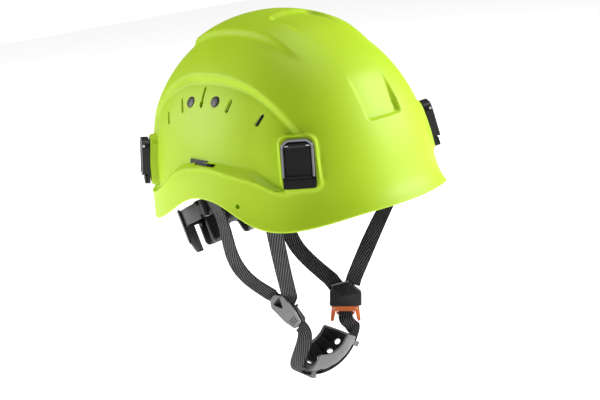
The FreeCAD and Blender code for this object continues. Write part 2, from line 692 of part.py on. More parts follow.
def makeKnob():
    """Lobed knob outside the housing; its shaft carries the pinion between the two racks."""
    start = HOUSINGBACK + size("coverThick") + 0.4
    radius, deep = size("knobRadius"), size("knobDepth")
    knob = newBody("ratchet_knob", upright(start + deep))
    disc = newSketch(knob, "XY_Plane")
    drawCircle(disc, "@knobRadius")
    padded(knob, disc, "@knobDepth")
    grip = newSketch(knob, "XY_Plane")
    for k in range(12):
        turn = 2 * math.pi * k / 12
        drawCircle(grip, "2.4", ((radius + 0.9) * math.cos(turn), (radius + 0.9) * math.sin(turn)))
    padded(knob, grip, "80", "PartDesign::Pocket")
    bore = newSketch(knob, "XY_Plane")
    drawCircle(bore, "@shaftRadius")
    padded(knob, bore, "80", "PartDesign::Pocket")
    shaft = Part.makeCylinder(size("shaftRadius"), deep + 10 + size("coverThick"),
                              V(0, RACKLINE - 3, 0), V(0, 1, 0))
    gear = Part.makeCylinder(size("pinionRadius"), 5.6, V(0, RACKLINE - 2.8, 0), V(0, 1, 0))
    notches = []
    for k in range(12):
        turn = 30 * k
        notch = Part.makeBox(1.2, 8, 1.4, V(-0.6, RACKLINE - 4, size("pinionRadius") - 0.9))
        notch.rotate(V(0, 0, 0), V(0, 1, 0), turn)
        notches.append(notch)
    shapePart("ratchet_pinion", gear.cut(notches).fuse(shaft).Solids[0], NAPE)
    ring = Part.makeCylinder(11, 1.4, V(0, HOUSINGBACK - 1.6, 0), V(0, 1, 0)).cut(
        Part.makeCylinder(size("shaftRadius") + 1.2, 4, V(0, HOUSINGBACK - 3, 0), V(0, 1, 0)))
    shapePart("ratchet_spring", ring, NAPE)


def makeNape():
    makePivots()
    makeArm("left", 1)
    makeArm("right", -1)
    makeWing("left", 1)
    makeWing("right", -1)
    makeArmPins()
    makeHousing()
    makeKnob()


ADJUSTER = placed(V(-46, -28.5, -99.5), V(0, -0.76, -0.65), V(-0.95, -0.20, 0.10))
CHINHINGE = ADJUSTER.multVec(V(19, 0, 0))    # the chin strap swings here when the buckle is open
BUCKLECENTRE = V(46, -13, -115)


def buckleFrame():
    """The socket faces forward and right; its mouth points the way the tongue leaves it."""
    arm = BUCKLECENTRE + V(0, 0, -13) - CHINHINGE
    leave = chinAxis().cross(arm).normalize()
    face = V(-0.70, -0.70, 0)
    return placed(BUCKLECENTRE, face.cross(leave), face - leave * face.dot(leave))


def chinAxis():
    """Level axis, square to the line from the hinge to the buckle."""
    arm = BUCKLECENTRE - CHINHINGE
    return V(-arm.y, arm.x, 0).normalize()


BUCKLE = buckleFrame()
CUP = placed(V(-8, -22, -126), V(0.905, -0.22, 0.30), V(-0.30, 0.12, 0.92))
CHINANCHORS = {"right_front": (52, 12), "right_rear": (86, 28),
               "left_front": (-58, 15), "left_rear": (-140, 0)}    # plan angle and height of each anchor


def makeChinAnchors():
    members = []
    for phi, height in CHINANCHORS.values():
        place = shellFrame(phi, height, -size("wallThick") - 3.4)
        base = place.multiply(FreeCAD.Placement(V(-9, -5, -1.5), FreeCAD.Rotation()))
        members.append(primitive("Part::Box", "chin_anchor", base, Length="@webWidth + 3", Width="10",
                                 Height="3"))
    groupPart("chin_strap_anchors", members)


def makeSideStraps():
    """Front and rear webbing of each side, from the shell to the adjuster and to the buckle."""
    routes = {}
    for word, (phi, height) in CHINANCHORS.items():
        start = shellPoint(phi, height - 7.4, size("wallThick") + 6.4)
        along = shellFrame(phi, height).Rotation.multVec(V(1, 0, 0))
        routes[word] = (start, along)
    ends = {
        "right_front": (ADJUSTER.multVec(V(-7, 12.5, 0)), V(0.55, -0.8, -0.2), [(-70, -53, -42)]),
        "right_rear": (ADJUSTER.multVec(V(-19.5, -1, 0)), V(0, -0.55, 0.83),
                       [(-96, -10, 2), (-84, -6, -38), (-64, -4, -70)]),
        "left_front": (BUCKLE.multVec(V(9, 15.5, 0)), V(0.75, -0.66, 0), [(75, -38, -46)]),
        "left_rear": (BUCKLE.multVec(V(-13.6, 14, 0)), V(0.71, -0.49, 0.51),
                      [(76, 92, -40), (64, 76, -71), (50, 38, -90)]),
    }
    for word, (end, endSide, middles) in ends.items():
        start, along = routes[word]
        if along.dot(endSide) < 0:
            along = along * -1
        path = [tuple(start)] + middles + [tuple(end)]
        shapePart("chin_strap_" + word, ribbon(path, along, endSide, size("webWidth"), size("webThick"), 14))


def makeAdjuster():
    """Divider on the wearer's right: a back plate with bars, a front plate, and a lever on a pin."""
    back = newBody("adjuster_back_plate", ADJUSTER)
    plate = newSketch(back, "XY_Plane", V(0, 0, -3.2))
    drawOutline(plate, ADJUSTEROUTLINE)
    padded(back, plate, "@plateThick")
    for centre, tall in (((-13, -1), "8"), ((12.5, 0), "8")):
        window = newSketch(back, "XY_Plane")
        drawRectangle(window, "3.2", tall, centre)
        padded(back, window, "30", "PartDesign::Pocket")
    front = newBody("adjuster_front_plate", ADJUSTER)
    plate = newSketch(front, "XY_Plane", V(0, 0, 1.2))
    drawOutline(plate, ADJUSTEROUTLINE)
    padded(front, plate, "@plateThick")
    window = newSketch(front, "XY_Plane")
    drawOutline(window, [(-13, -5.5, 1.5), (-13, 5.5, 1.5), (-2, 0, 1.5)])
    padded(front, window, "30", "PartDesign::Pocket")
    for spot in ((-4, 6.2), (-4, -6.2)):
        post = newSketch(front, "XY_Plane", V(0, 0, -0.9))
        drawCircle(post, "1.8", spot)
        padded(front, post, "2.3")
    lever = newBody("adjuster_lever", ADJUSTER)
    leaf = newSketch(lever, "XY_Plane", V(0, 0, -6.8))
    drawOutline(leaf, [(0, -7, 2), (17, -5, 3), (17, 5, 3), (0, 7, 2)])
    padded(lever, leaf, "@plateThick")
    knuckle = newSketch(lever, "XZ_Plane", V(0, 0, -6))
    drawCircle(knuckle, "2.2", (2.4, -5.7))
    padded(lever, knuckle, "12")
    bore = newSketch(lever, "XZ_Plane")
    drawCircle(bore, "1.2 + @fitGap", (2.4, -5.7))
    padded(lever, bore, "40", "PartDesign::Pocket")
    middle = FreeCAD.Placement(V(2.4, -9, -5.7), placed(V(0, 0, 0), V(1, 0, 0), V(0, 1, 0)).Rotation)
    pin = primitive("Part::Cylinder", "adjuster_pin", ADJUSTER.multiply(middle), Radius="1.2", Height="18")
    keep(pin, "adjuster_pin")


ADJUSTEROUTLINE = [(-17.5, -4.5, 2), (-12, -9, 3), (7, -7.8, 5), (17.5, -4.5, 2.2), (17.5, 4.5, 2.2),
                   (7, 7.5, 5), (-10, 9, 3), (-17.5, 3, 2)]


def buckleOutline():
    """Five-sided face: two sloped shoulders over a straight-sided body."""
    half, tall = size("buckleWidth") / 2, size("buckleHeight") / 2
    return [(-half, -tall, 1.5), (half, -tall, 1.5), (half, 1.5, 2), (3.5, tall, 2),
            (-half + 3, tall - 3.5, 2)]


def makeBuckle():
    """Five-sided socket on the wearer's left, and the tongue with two side levers that fills it."""
    halves = (("buckle_cover_front", 2.75), ("buckle_cover_back", -2.75 - size("plateThick")))
    for label, level in halves:
        cover = newBody(label, BUCKLE)
        plate = newSketch(cover, "XY_Plane", V(0, 0, level))
        drawOutline(plate, buckleOutline())
        padded(cover, plate, "@plateThick")
    wall = newBody("buckle_socket", BUCKLE)
    half, tall = size("buckleWidth") / 2, size("buckleHeight") / 2
    ring = newSketch(wall, "XY_Plane", V(0, 0, -2.7))
    drawOutline(ring, [(-half + 0.6, -tall + 0.6), (-half + 3, -tall + 0.6), (-half + 3, 2.2),
                       (half - 3, 2.2), (half - 3, -tall + 0.6), (half - 0.6, -tall + 0.6), (half - 0.6, 1.2),
                       (3.4, tall - 1.2), (-half + 3.6, tall - 4.2), (-half + 0.6, 2)])
    padded(wall, ring, "5.4")
    tongue = newBody("buckle_tongue", BUCKLE)
    blade = newSketch(tongue, "XY_Plane", V(0, 0, -size("tongueThick") / 2))
    drawOutline(blade, [(-7, -20, 2), (7, -20, 2), (7, 1.5, 3), (-7, 1.5, 3)])
    padded(tongue, blade, "@tongueThick")
    bar = newSketch(tongue, "XY_Plane", V(0, 0, -2))
    drawOutline(bar, [(-9, -20.4, 1.5), (9, -20.4, 1.5), (9, -12.4, 1), (-9, -12.4, 1)])
    padded(tongue, bar, "4")
    window = newSketch(tongue, "XY_Plane")
    drawOutline(window, [(-7.8, -18.6), (7.8, -18.6), (7.8, -15.8), (-7.8, -15.8)])
    padded(tongue, window, "30", "PartDesign::Pocket")
    for level in (-3, 1.9):
        cheek = newSketch(tongue, "XY_Plane", V(0, 0, level))
        drawOutline(cheek, [(-13.4, -17, 2), (13.4, -17, 2), (13.4, -12.4, 1), (-13.4, -12.4, 1)])
        padded(tongue, cheek, "1.1")
    bores = newSketch(tongue, "XY_Plane")
    for side in (-1, 1):
        drawCircle(bores, "0.8", (side * 11.4, -14.4))
    padded(tongue, bores, "30", "PartDesign::Pocket")
    pins = []
    for side, word in ((-1, "rear"), (1, "front")):
        spot = BUCKLE.multiply(FreeCAD.Placement(V(side * 11.4, -14.4, -3), FreeCAD.Rotation()))
        pins.append(primitive("Part::Cylinder", "lever_pin", spot, Radius="0.8", Height="6"))
        lever = newBody("buckle_lever_" + word, BUCKLE)
        wing = newSketch(lever, "XY_Plane", V(0, 0, -1.8))
        drawOutline(wing, [(side * 9.6, -12.2), (side * 13.2, -12.2, 1), (side * 14.6, -27, 1.5),
                           (side * 11.6, -27, 1), (side * 9.6, -19)][::side])
        padded(lever, wing, "3.6")
        bore = newSketch(lever, "XY_Plane")
        drawCircle(bore, "0.8 + @fitGap", (side * 11.4, -14.4))
        padded(lever, bore, "30", "PartDesign::Pocket")
    groupPart("buckle_pins", pins)


def sectorOf(profile, low, high):
    """A profile of (y, radius) points revolved about the cup's y axis between two angles."""
    points = [V(0, y, -r) for y, r in profile]
    face = Part.Face(Part.makePolygon(points + points[:1]))
    face.rotate(V(0, 0, 0), V(0, 1, 0), low)
    return face.revolve(V(0, 0, 0), V(0, 1, 0), high - low)


def troughProfile(radius, lip, halfWide, thick):
    """Round-bottomed channel: radius at the middle, lips that reach up to the lip radius."""
    middle = (radius ** 2 - halfWide ** 2 - lip ** 2) / (2 * (radius - lip))
    bend = radius - middle
    spread = math.atan2(halfWide, lip - middle)
    outer = [(bend * math.sin(spread * k / 8), middle + bend * math.cos(spread * k / 8))
             for k in range(-8, 9)]
    inner = [((bend - thick) * math.sin(spread * k / 8), middle + (bend - thick) * math.cos(spread * k / 8))
             for k in range(8, -9, -1)]
    return outer + inner


def makeCup():
    """Chin cup: a curved trough with two keepers for the webbing, and a soft liner inside it."""
    radius, half = size("cupRadius"), size("cupDepth") / 2
    reach = math.degrees(math.asin(size("cupLength") / 2 / radius))
    lip = radius - size("cupLip")
    outer = sectorOf(troughProfile(radius, lip, half, size("cupThick")), -reach, reach)
    deep = radius - 4
    keeper = [(-9.9, deep), (-8.2, deep), (-8.2, radius + 2.7), (8.2, radius + 2.7), (8.2, deep), (9.9, deep),
              (9.9, radius + 4.3), (-9.9, radius + 4.3)]
    loops = [sectorOf(keeper, -reach + 3, -reach + 9), sectorOf(keeper, reach - 9, reach - 3)]
    lining = size("cupThick") + 0.3
    liner = sectorOf(troughProfile(radius - lining, lip - lining * 0.2, half - lining, size("linerThick")),
                     -reach - 1, reach + 1)
    hollow = sectorOf(troughProfile(radius - 1, lip, half - 1, 25)[:17] + [(0, 12)], -reach - 5, reach + 5)
    loops = [loop.cut(hollow) for loop in loops]
    holes = []
    for turn in (-26, -9, 9, 26):
        for lean in (-38, 38):
            hole = Part.makeCylinder(3, 40, V(0, 0, -10), V(0, 0, -1))
            hole.rotate(V(0, 0, -(radius - 17)), V(1, 0, 0), lean)
            hole.rotate(V(0, 0, 0), V(0, 1, 0), turn)
            holes.append(hole)
    shapePart("chin_cup", max(outer.fuse(loops).cut(holes).Solids, key=lambda s: s.Volume), CUP)
    shapePart("chin_cup_liner", max(liner.cut(holes).Solids, key=lambda s: s.Volume), CUP)


def makeChinStrap():
    """Webbing from the adjuster, under the cup on an arc about the cup's own axis, up to the tongue."""
    radius = size("cupRadius") + 1.7
    reach = math.degrees(math.asin(size("cupLength") / 2 / size("cupRadius"))) + 4.5
    turns = [math.radians(-reach + 2 * reach * k / 12) for k in range(13)]
    arc = [CUP.multVec(V(radius * math.sin(t), 0, -radius * math.cos(t))) for t in turns]
    top = ADJUSTER.multVec(V(21.5, 0, 0))
    down = ADJUSTER.Rotation.multVec(V(1, 0, 0))
    foot = BUCKLE.multVec(V(0, -21.6, 0))
    upward = BUCKLE.Rotation.multVec(V(0, 1, 0))
    enter = (arc[1] - arc[0]).normalize()
    leave = (arc[-1] - arc[-2]).normalize()
    first = bridge(top, down * 14, enter * 16, arc[0], 8)
    last = bridge(arc[-1], leave * 8, upward * 8, foot, 8)
    across = ADJUSTER.Rotation.multVec(V(0, 1, 0))
    level = CUP.Rotation.multVec(V(0, 1, 0))
    tongue = BUCKLE.Rotation.multVec(V(1, 0, 0))
    if across.dot(level) < 0:
        across = across * -1
    if tongue.dot(level) < 0:
        tongue = tongue * -1
    sides = turned(across, level, 8)[:-1] + [level] * 13 + turned(level, tongue, 8)[1:]
    shapePart("chin_strap_lower", webbing(first[:-1] + arc + last[1:], sides, size("webWidth") - 1,
                                          size("webThick")))


def main():
    makeShell()
    makePlugs()
    makeClips()
    makeAnchors()
    makeCradle()
    makeHeadband()
    makeHangers()
    makeNape()
    makeChinAnchors()
    makeSideStraps()
    makeAdjuster()
    makeBuckle()
    makeCup()
    makeChinStrap()
    save()


def save():
    """Every object must be sound before anything is written."""
    doc.recompute()
    for obj in doc.Objects:
        if "Invalid" in obj.State or "Error" in obj.State:
            raise RuntimeError("%s did not recompute: %s" % (obj.Label, obj.State))
    for obj in SUBPARTS:
        if obj.Shape.isNull() or not obj.Shape.isValid() or not obj.Shape.Solids:
            raise RuntimeError(obj.Label + " has no valid solid")
    os.makedirs("parts", exist_ok=True)
    for obj in SUBPARTS:
        obj.Shape.exportStep("parts/%s.step" % obj.Label)
        box = obj.Shape.BoundBox
        print("%-28s solids %d volume %8.0f x %6.1f %6.1f y %6.1f %6.1f z %6.1f %6.1f" % (
            obj.Label, len(obj.Shape.Solids), obj.Shape.Volume, box.XMin, box.XMax, box.YMin, box.YMax,
            box.ZMin, box.ZMax))


main()
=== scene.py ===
import json

import bpy
import numpy as np
from mathutils import Matrix


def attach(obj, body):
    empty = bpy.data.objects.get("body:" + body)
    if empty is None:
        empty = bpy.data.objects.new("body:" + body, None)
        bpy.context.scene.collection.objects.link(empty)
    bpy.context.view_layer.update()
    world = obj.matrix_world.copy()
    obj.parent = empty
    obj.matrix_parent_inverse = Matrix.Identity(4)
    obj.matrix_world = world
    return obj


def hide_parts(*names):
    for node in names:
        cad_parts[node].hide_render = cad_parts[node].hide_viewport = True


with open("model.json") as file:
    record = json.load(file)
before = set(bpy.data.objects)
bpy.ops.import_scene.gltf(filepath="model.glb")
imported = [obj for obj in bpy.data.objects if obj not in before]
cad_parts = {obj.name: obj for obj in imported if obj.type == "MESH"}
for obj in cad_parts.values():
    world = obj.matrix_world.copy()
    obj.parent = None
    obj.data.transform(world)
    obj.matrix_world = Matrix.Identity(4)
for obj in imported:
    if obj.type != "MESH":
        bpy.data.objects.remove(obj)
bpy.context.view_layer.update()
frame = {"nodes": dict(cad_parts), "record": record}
nodes = frame["nodes"]
print("frame loaded:", len(nodes), "nodes")


# shader maths: a socket that takes part in Python expressions

class Wire:
    def __init__(self, tree, socket):
        self.tree = tree
        self.socket = socket

    def node(self, kind, settings, inputs, output=0):
        # one new node: its settings first, then values or links for its inputs
        made = self.tree.nodes.new(kind)
        for key, value in settings.items():
            setattr(made, key, value)
        for key, value in inputs.items():
            if isinstance(value, Wire):
                self.tree.links.new(value.socket, made.inputs[key])
            else:
                made.inputs[key].default_value = value
        return Wire(self.tree, made.outputs[output])

    def maths(self, operation, *values):
        return self.node("ShaderNodeMath", {"operation": operation}, dict(enumerate(values)))

    def __add__(self, other):
        return self.maths("ADD", self, other)

    def __radd__(self, other):
        return self.maths("ADD", other, self)

    def __sub__(self, other):
        return self.maths("SUBTRACT", self, other)

    def __rsub__(self, other):
        return self.maths("SUBTRACT", other, self)

    def __mul__(self, other):
        return self.maths("MULTIPLY", self, other)

    def band(self, low, high):
        # 0 below low, 1 above high, smooth between
        return self.node("ShaderNodeMapRange", {"interpolation_type": "SMOOTHSTEP"},
                         {"Value": self, "From Min": low, "From Max": high})

    def blend(self, first, second):
        # colour mix by this value
        return self.node("ShaderNodeMix", {"data_type": "RGBA"},
                         {0: self, 6: (*first, 1) if isinstance(first, tuple) else first,
                          7: (*second, 1) if isinstance(second, tuple) else second}, 2)

    def noise(self, scale, detail=3, rough=0.5):
        return self.node("ShaderNodeTexNoise", {},
                         {"Vector": self, "Scale": scale, "Detail": detail, "Roughness": rough})

    def bump(self, strength, distance):
        return self.node("ShaderNodeBump", {}, {"Height": self, "Strength": strength, "Distance": distance})


def newMaterial(name, **fixed):
    material = bpy.data.materials.new(name)
    material.use_nodes = True
    tree = material.node_tree
    shader = tree.nodes["Principled BSDF"]
    for key, value in fixed.items():
        socket = {"coat": "Coat Weight", "coatRough": "Coat Roughness", "sheen": "Sheen Weight",
                  "sheenRough": "Sheen Roughness", "ior": "IOR", "specular": "Specular IOR Level",
                  "metal": "Metallic"}[key]
        shader.inputs[socket].default_value = value
    coords = tree.nodes.new("ShaderNodeTexCoord")
    place = Wire(tree, coords.outputs["Object"])

    def finish(**ends):
        for key, value in ends.items():
            socket = {"colour": "Base Color", "rough": "Roughness", "normal": "Normal",
                      "coat": "Coat Weight"}[key]
            if isinstance(value, Wire):
                tree.links.new(value.socket, shader.inputs[socket])
            else:
                shader.inputs[socket].default_value = value
        return material
    return place, finish, Wire(tree, coords.outputs["UV"])


def mouldedPlastic(name, deep, pale, rough, grain, **fixed):
    # fine moulded grain, slow changes of tone and gloss
    place, finish, _ = newMaterial(name, **fixed)
    slow = place.noise(22, 3)
    fine = place.noise(grain, 4, 0.6)
    scuff = place.noise(300, 6, 0.75).band(0.56, 0.72)
    return finish(colour=(slow * 0.75 + fine * 0.25).band(0.3, 0.7).blend(deep, pale),
                  rough=rough + (slow - 0.5) * 0.10 + scuff * 0.08,
                  normal=(fine + scuff * 0.2).bump(0.25, 0.00012))


def shellPlastic(name):
    # glossy coloured shell: even colour, faint orange peel, fine handling scuffs
    place, finish, _ = newMaterial(name, coat=0.03, coatRough=0.3, specular=0.34)
    slow = place.noise(9, 2)
    peel = place.noise(420, 2, 0.4)
    scuff = place.noise(150, 8, 0.8).band(0.6, 0.74)
    return finish(colour=slow.band(0.3, 0.7).blend((0.42, 0.63, 0.010), (0.46, 0.68, 0.014)),
                  rough=0.52 + (slow - 0.5) * 0.08 + scuff * 0.05,
                  normal=(peel + scuff * 0.15).bump(0.12, 0.0001))


def wovenWebbing(name, dark, light):
    # herringbone ribs from the strap's own map, u and v in millimetres, with a painted sheen: paler colour along
    # their tops
    place, finish, flat = newMaterial(name, sheen=0.08, sheenRough=0.5, specular=0.2)
    parts = flat.node("ShaderNodeSeparateXYZ", {}, {0: flat})
    u = parts
    v = Wire(flat.tree, parts.socket.node.outputs[1])
    slant = u * 2.9 + v * 0.62
    rib = slant.maths("SINE", slant) * 0.5 + 0.5
    cross = u * -1.1 + v * 5.2
    pick = cross.maths("SINE", cross) * 0.5 + 0.5
    # painted sheen: the tops of the ribs pushed towards the pale colour and made a little glossier
    paintedRibSheen = slant.maths("SINE", slant).band(0.72, 0.97) * (0.8 + pick * 0.4)
    wear = place.noise(60, 3).band(0.25, 0.75)
    edge = u.maths("ABSOLUTE", u).band(6.3, 6.9)
    tone = (rib * 0.08 + pick * 0.05 + paintedRibSheen * 0.9) * (0.6 + wear * 0.5) * (1 - edge * 0.6)
    return finish(colour=tone.blend(dark, light), rough=0.75 - paintedRibSheen * 0.12,
                  normal=(rib * 0.7 + pick * 0.5 + paintedRibSheen * 0.3).bump(0.6, 0.00035))


def brushedFoam(name, dark, light, scale=900):
    # short fibres over soft foam
    place, finish, _ = newMaterial(name, sheen=0.5, sheenRough=0.4, specular=0.15)
    fibre = place.noise(scale, 5, 0.7)
    lump = place.noise(120, 3)
    return finish(colour=(fibre * 0.7 + lump * 0.3).band(0.3, 0.75).blend(dark, light), rough=0.92,
                  normal=(fibre + lump * 0.6).bump(0.5, 0.0005))


def brushedSteel(name):
    place, finish, _ = newMaterial(name, metal=1.0)
    fine = place.noise(700, 4, 0.6)
    return finish(colour=fine.blend((0.42, 0.42, 0.44), (0.62, 0.62, 0.65)), rough=0.28 + fine * 0.12,
                  normal=fine.bump(0.15, 0.00005))


materials = {
    "lime_shell": shellPlastic("limeShell"),
    "black_plastic": mouldedPlastic("blackPlastic", (0.006, 0.006, 0.007), (0.014, 0.014, 0.016), 0.42, 1400,
                                    specular=0.4),
    "grey_plastic": mouldedPlastic("greyPlastic", (0.018, 0.018, 0.020), (0.034, 0.034, 0.037), 0.34, 1200),
    "grey_rubber": mouldedPlastic("greyRubber", (0.155, 0.157, 0.16), (0.215, 0.218, 0.22), 0.5, 900),
    "orange_plastic": mouldedPlastic("orangePlastic", (0.95, 0.15, 0.008), (1.0, 0.21, 0.012), 0.36, 1000,
                                     coat=0.1),
    "black_webbing": wovenWebbing("blackWebbing", (0.004, 0.004, 0.0045), (0.21, 0.21, 0.215)),
    "pad_fabric": brushedFoam("padFabric", (0.004, 0.004, 0.0045), (0.02, 0.02, 0.022)),
    "pin_steel": brushedSteel("pinSteel"),
}
bezelGrey = mouldedPlastic("bezelGrey", (0.24, 0.24, 0.25), (0.31, 0.31, 0.33), 0.36, 1200)
dividerGrey = mouldedPlastic("dividerGrey", (0.20, 0.20, 0.205), (0.27, 0.27, 0.275), 0.42, 1100)
# near-black sheet for the inside of the shell: painted shade for the dark interior under the rim and behind the vents
paintedShadeLiner = mouldedPlastic("paintedShadeLiner", (0.005, 0.005, 0.006), (0.012, 0.012, 0.013), 0.8, 260)
for entry in frame["record"]["subparts"]:
    node = nodes[entry["node"]]
    node.data.materials.clear()
    node.data.materials.append(materials[entry["material_slot"]])
nodes["adjuster_front_plate"].data.materials[0] = dividerGrey
for name in nodes:
    if name.startswith("lamp_clip_base"):
        nodes[name].data.materials[0] = materials["black_plastic"]
print("materials made:", len(materials) + 3)


# meshes from whole arrays, in millimetres

def meshPiece(name, points, faces, material, body, replaced=(), flat=None, sharp=0.7):
    mesh = bpy.data.meshes.new(name)
    faces = faces if isinstance(faces, list) else faces.tolist()
    mesh.from_pydata((np.asarray(points) * 0.001).tolist(), [], faces)
    mesh.materials.append(material)
    mesh.polygons.foreach_set("use_smooth", np.ones(len(mesh.polygons), bool))
    if flat is not None:
        layer = mesh.uv_layers.new(name="strap")
        corners = np.empty(len(mesh.loops), int)
        mesh.loops.foreach_get("vertex_index", corners)
        layer.data.foreach_set("uv", np.asarray(flat)[corners].ravel())
    mesh.update()
    if sharp:
        mesh.set_sharp_from_angle(angle=sharp)
    piece = bpy.data.objects.new(name, mesh)
    bpy.context.scene.collection.objects.link(piece)
    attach(piece, body)
    if replaced:
        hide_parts(*replaced)
    return piece


def gridFaces(rows, columns, closed=True):
    # quads of a grid of points, wrapping round its columns when closed
    wrap = columns if closed else columns - 1
    r, c = np.meshgrid(np.arange(rows - 1), np.arange(wrap), indexing="ij")
    n = (c + 1) % columns
    quads = np.stack([r * columns + c, r * columns + n, (r + 1) * columns + n, (r + 1) * columns + c], -1)
    return quads.reshape(-1, 4)


def smoothStep(value, low, high):
    t = np.clip((value - low) / (high - low), 0, 1)
    return t * t * (3 - 2 * t)


def unit(vectors):
    return vectors / np.maximum(np.linalg.norm(vectors, axis=-1, keepdims=True), 1e-9)


# the shell: a superellipse dome with a flared brim and moulded steps

shellForm = {
    "halfWidth": 110, "halfLength": 132, "crown": 159.5, "waist": 23, "planPower": 2.3, "sidePower": 2.05,
    "draft": 0.03, "flareWide": 10.4, "flareTight": 4.7, "wall": 3,
    "rows": 146, "columns": 656, "lipRows": 7, "hemHeight": 11,
    "panelDepth": 6.0, "hoodRise": 4.0, "crownDip": 3.4, "browDip": 4.2, "clipPad": 1.3,
}
rimAngles = np.array([0, 22, 44, 58, 74, 84, 94, 112, 132, 155, 180.0])
rimLevels = np.array([10, 8, -1, 1.5, 17, 20.5, 18, 1.5, -14, -16, -14.0])
lampClips = {"front_right": (39.5, 51.0), "front_left": (-39.5, 51.0), "rear_right": (136.0, 38.0),
             "rear_left": (-136.0, 38.0)}    # plan angle and height of each clip's middle
archOuter = np.array([(30, 60), (37.5, 78), (44.5, 93.6), (55.5, 108.5), (71.5, 117.2), (94, 119.4), (113.5, 116.7),
                      (127, 108), (138, 94), (146, 74), (152, 50)])
ledgeInner = np.array([(30, 39), (34, 36.5), (41, 32.7), (47.5, 31), (55, 41.5), (67.5, 49.2), (76, 50.8), (94, 49.2),
                       (106.5, 40.4), (115, 27.8), (125, 17), (136, 11), (150, 9)])
ledgeLip = np.array([(30, 37.5), (34, 35.3), (41, 31.4), (47.5, 29.4), (55, 35.6), (67.5, 42.0), (78, 45.7),
                     (92, 44.0), (106.5, 35.4), (115, 24.0), (125, 14), (136, 9), (150, 7)])


def splineThrough(knots, values, closed=False):
    # natural or periodic cubic spline; returns a function of whole arrays
    count = len(knots)
    step = np.diff(knots)
    system, right = np.zeros((count, count)), np.zeros((count,) + np.shape(values)[1:])
    slope = np.diff(values, axis=0) / step.reshape((-1,) + (1,) * (np.ndim(values) - 1))
    for i in range(1, count - 1):
        system[i, i - 1:i + 2] = step[i - 1], 2 * (step[i - 1] + step[i]), step[i]
        right[i] = 6 * (slope[i] - slope[i - 1])
    if closed:
        system[0, 0], system[0, -1] = 1, -1
        system[-1, 0], system[-1, 1] = 2 * step[0], step[0]
        system[-1, -2], system[-1, -1] = step[-1], 2 * step[-1]
        right[-1] = 6 * (slope[0] - slope[-1])
    else:
        system[0, 0] = system[-1, -1] = 1
    bend = np.linalg.solve(system, right)

    def at(x):
        k = np.clip(np.searchsorted(knots, x, side="right") - 1, 0, count - 2)
        h = step[k]
        shape = np.shape(x) + (1,) * (np.ndim(values) - 1)
        a, b = ((knots[k + 1] - x) / h).reshape(shape), ((x - knots[k]) / h).reshape(shape)
        h = h.reshape(shape)
        return (a * values[k] + b * values[k + 1]
                + ((a ** 3 - a) * bend[k] + (b ** 3 - b) * bend[k + 1]) * h * h / 6)
    return at


rimSpline = splineThrough(np.concatenate([rimAngles, 360 - rimAngles[-2::-1]]),
                          np.concatenate([rimLevels, rimLevels[-2::-1]]), True)


def rimHeight(angle):
    return rimSpline(np.mod(angle, 360.0))


def domePoint(angle, height):
    # plan radius of a superellipse, shrunk towards the crown by a second superellipse, plus the flare of the brim
    f = shellForm
    turn = np.radians(angle)
    n, p = f["planPower"], f["sidePower"]
    reach = (np.abs(np.sin(turn) / f["halfWidth"]) ** n + np.abs(np.cos(turn) / f["halfLength"]) ** n) ** (-1 / n)
    rise = (height - f["waist"]) / (f["crown"] - f["waist"])
    over = np.maximum(0, 1 - np.clip(rise, 0, 1) ** p) ** (1 / p)
    reach = reach * np.where(rise > 0, over, 1 - f["draft"] * rise)
    signed = np.mod(angle + 180, 360) - 180
    above = np.maximum(0, height - rimHeight(angle))
    reach = reach + f["flareWide"] * np.exp(-(signed / 65) ** 2 - above / 31)
    reach = reach + f["flareTight"] * np.exp(-(signed / 80) ** 2 - above / 9.4)
    # the wide flare fades to nothing at the crown, where every plan angle meets
    fade = smoothStep(f["crown"] - height, 0, 12)
    plain = reach - f["flareWide"] * np.exp(-(signed / 65) ** 2 - above / 31) * (1 - fade)
    return np.stack([-plain * np.sin(turn), -plain * np.cos(turn), height + 0 * plain], -1)


def boxGap(x, y, halfWide, halfTall, corner):
    # signed distance outside a rounded rectangle
    qx, qy = np.abs(x) - halfWide + corner, np.abs(y) - halfTall + corner
    return np.hypot(np.maximum(qx, 0), np.maximum(qy, 0)) + np.minimum(np.maximum(qx, qy), 0) - corner


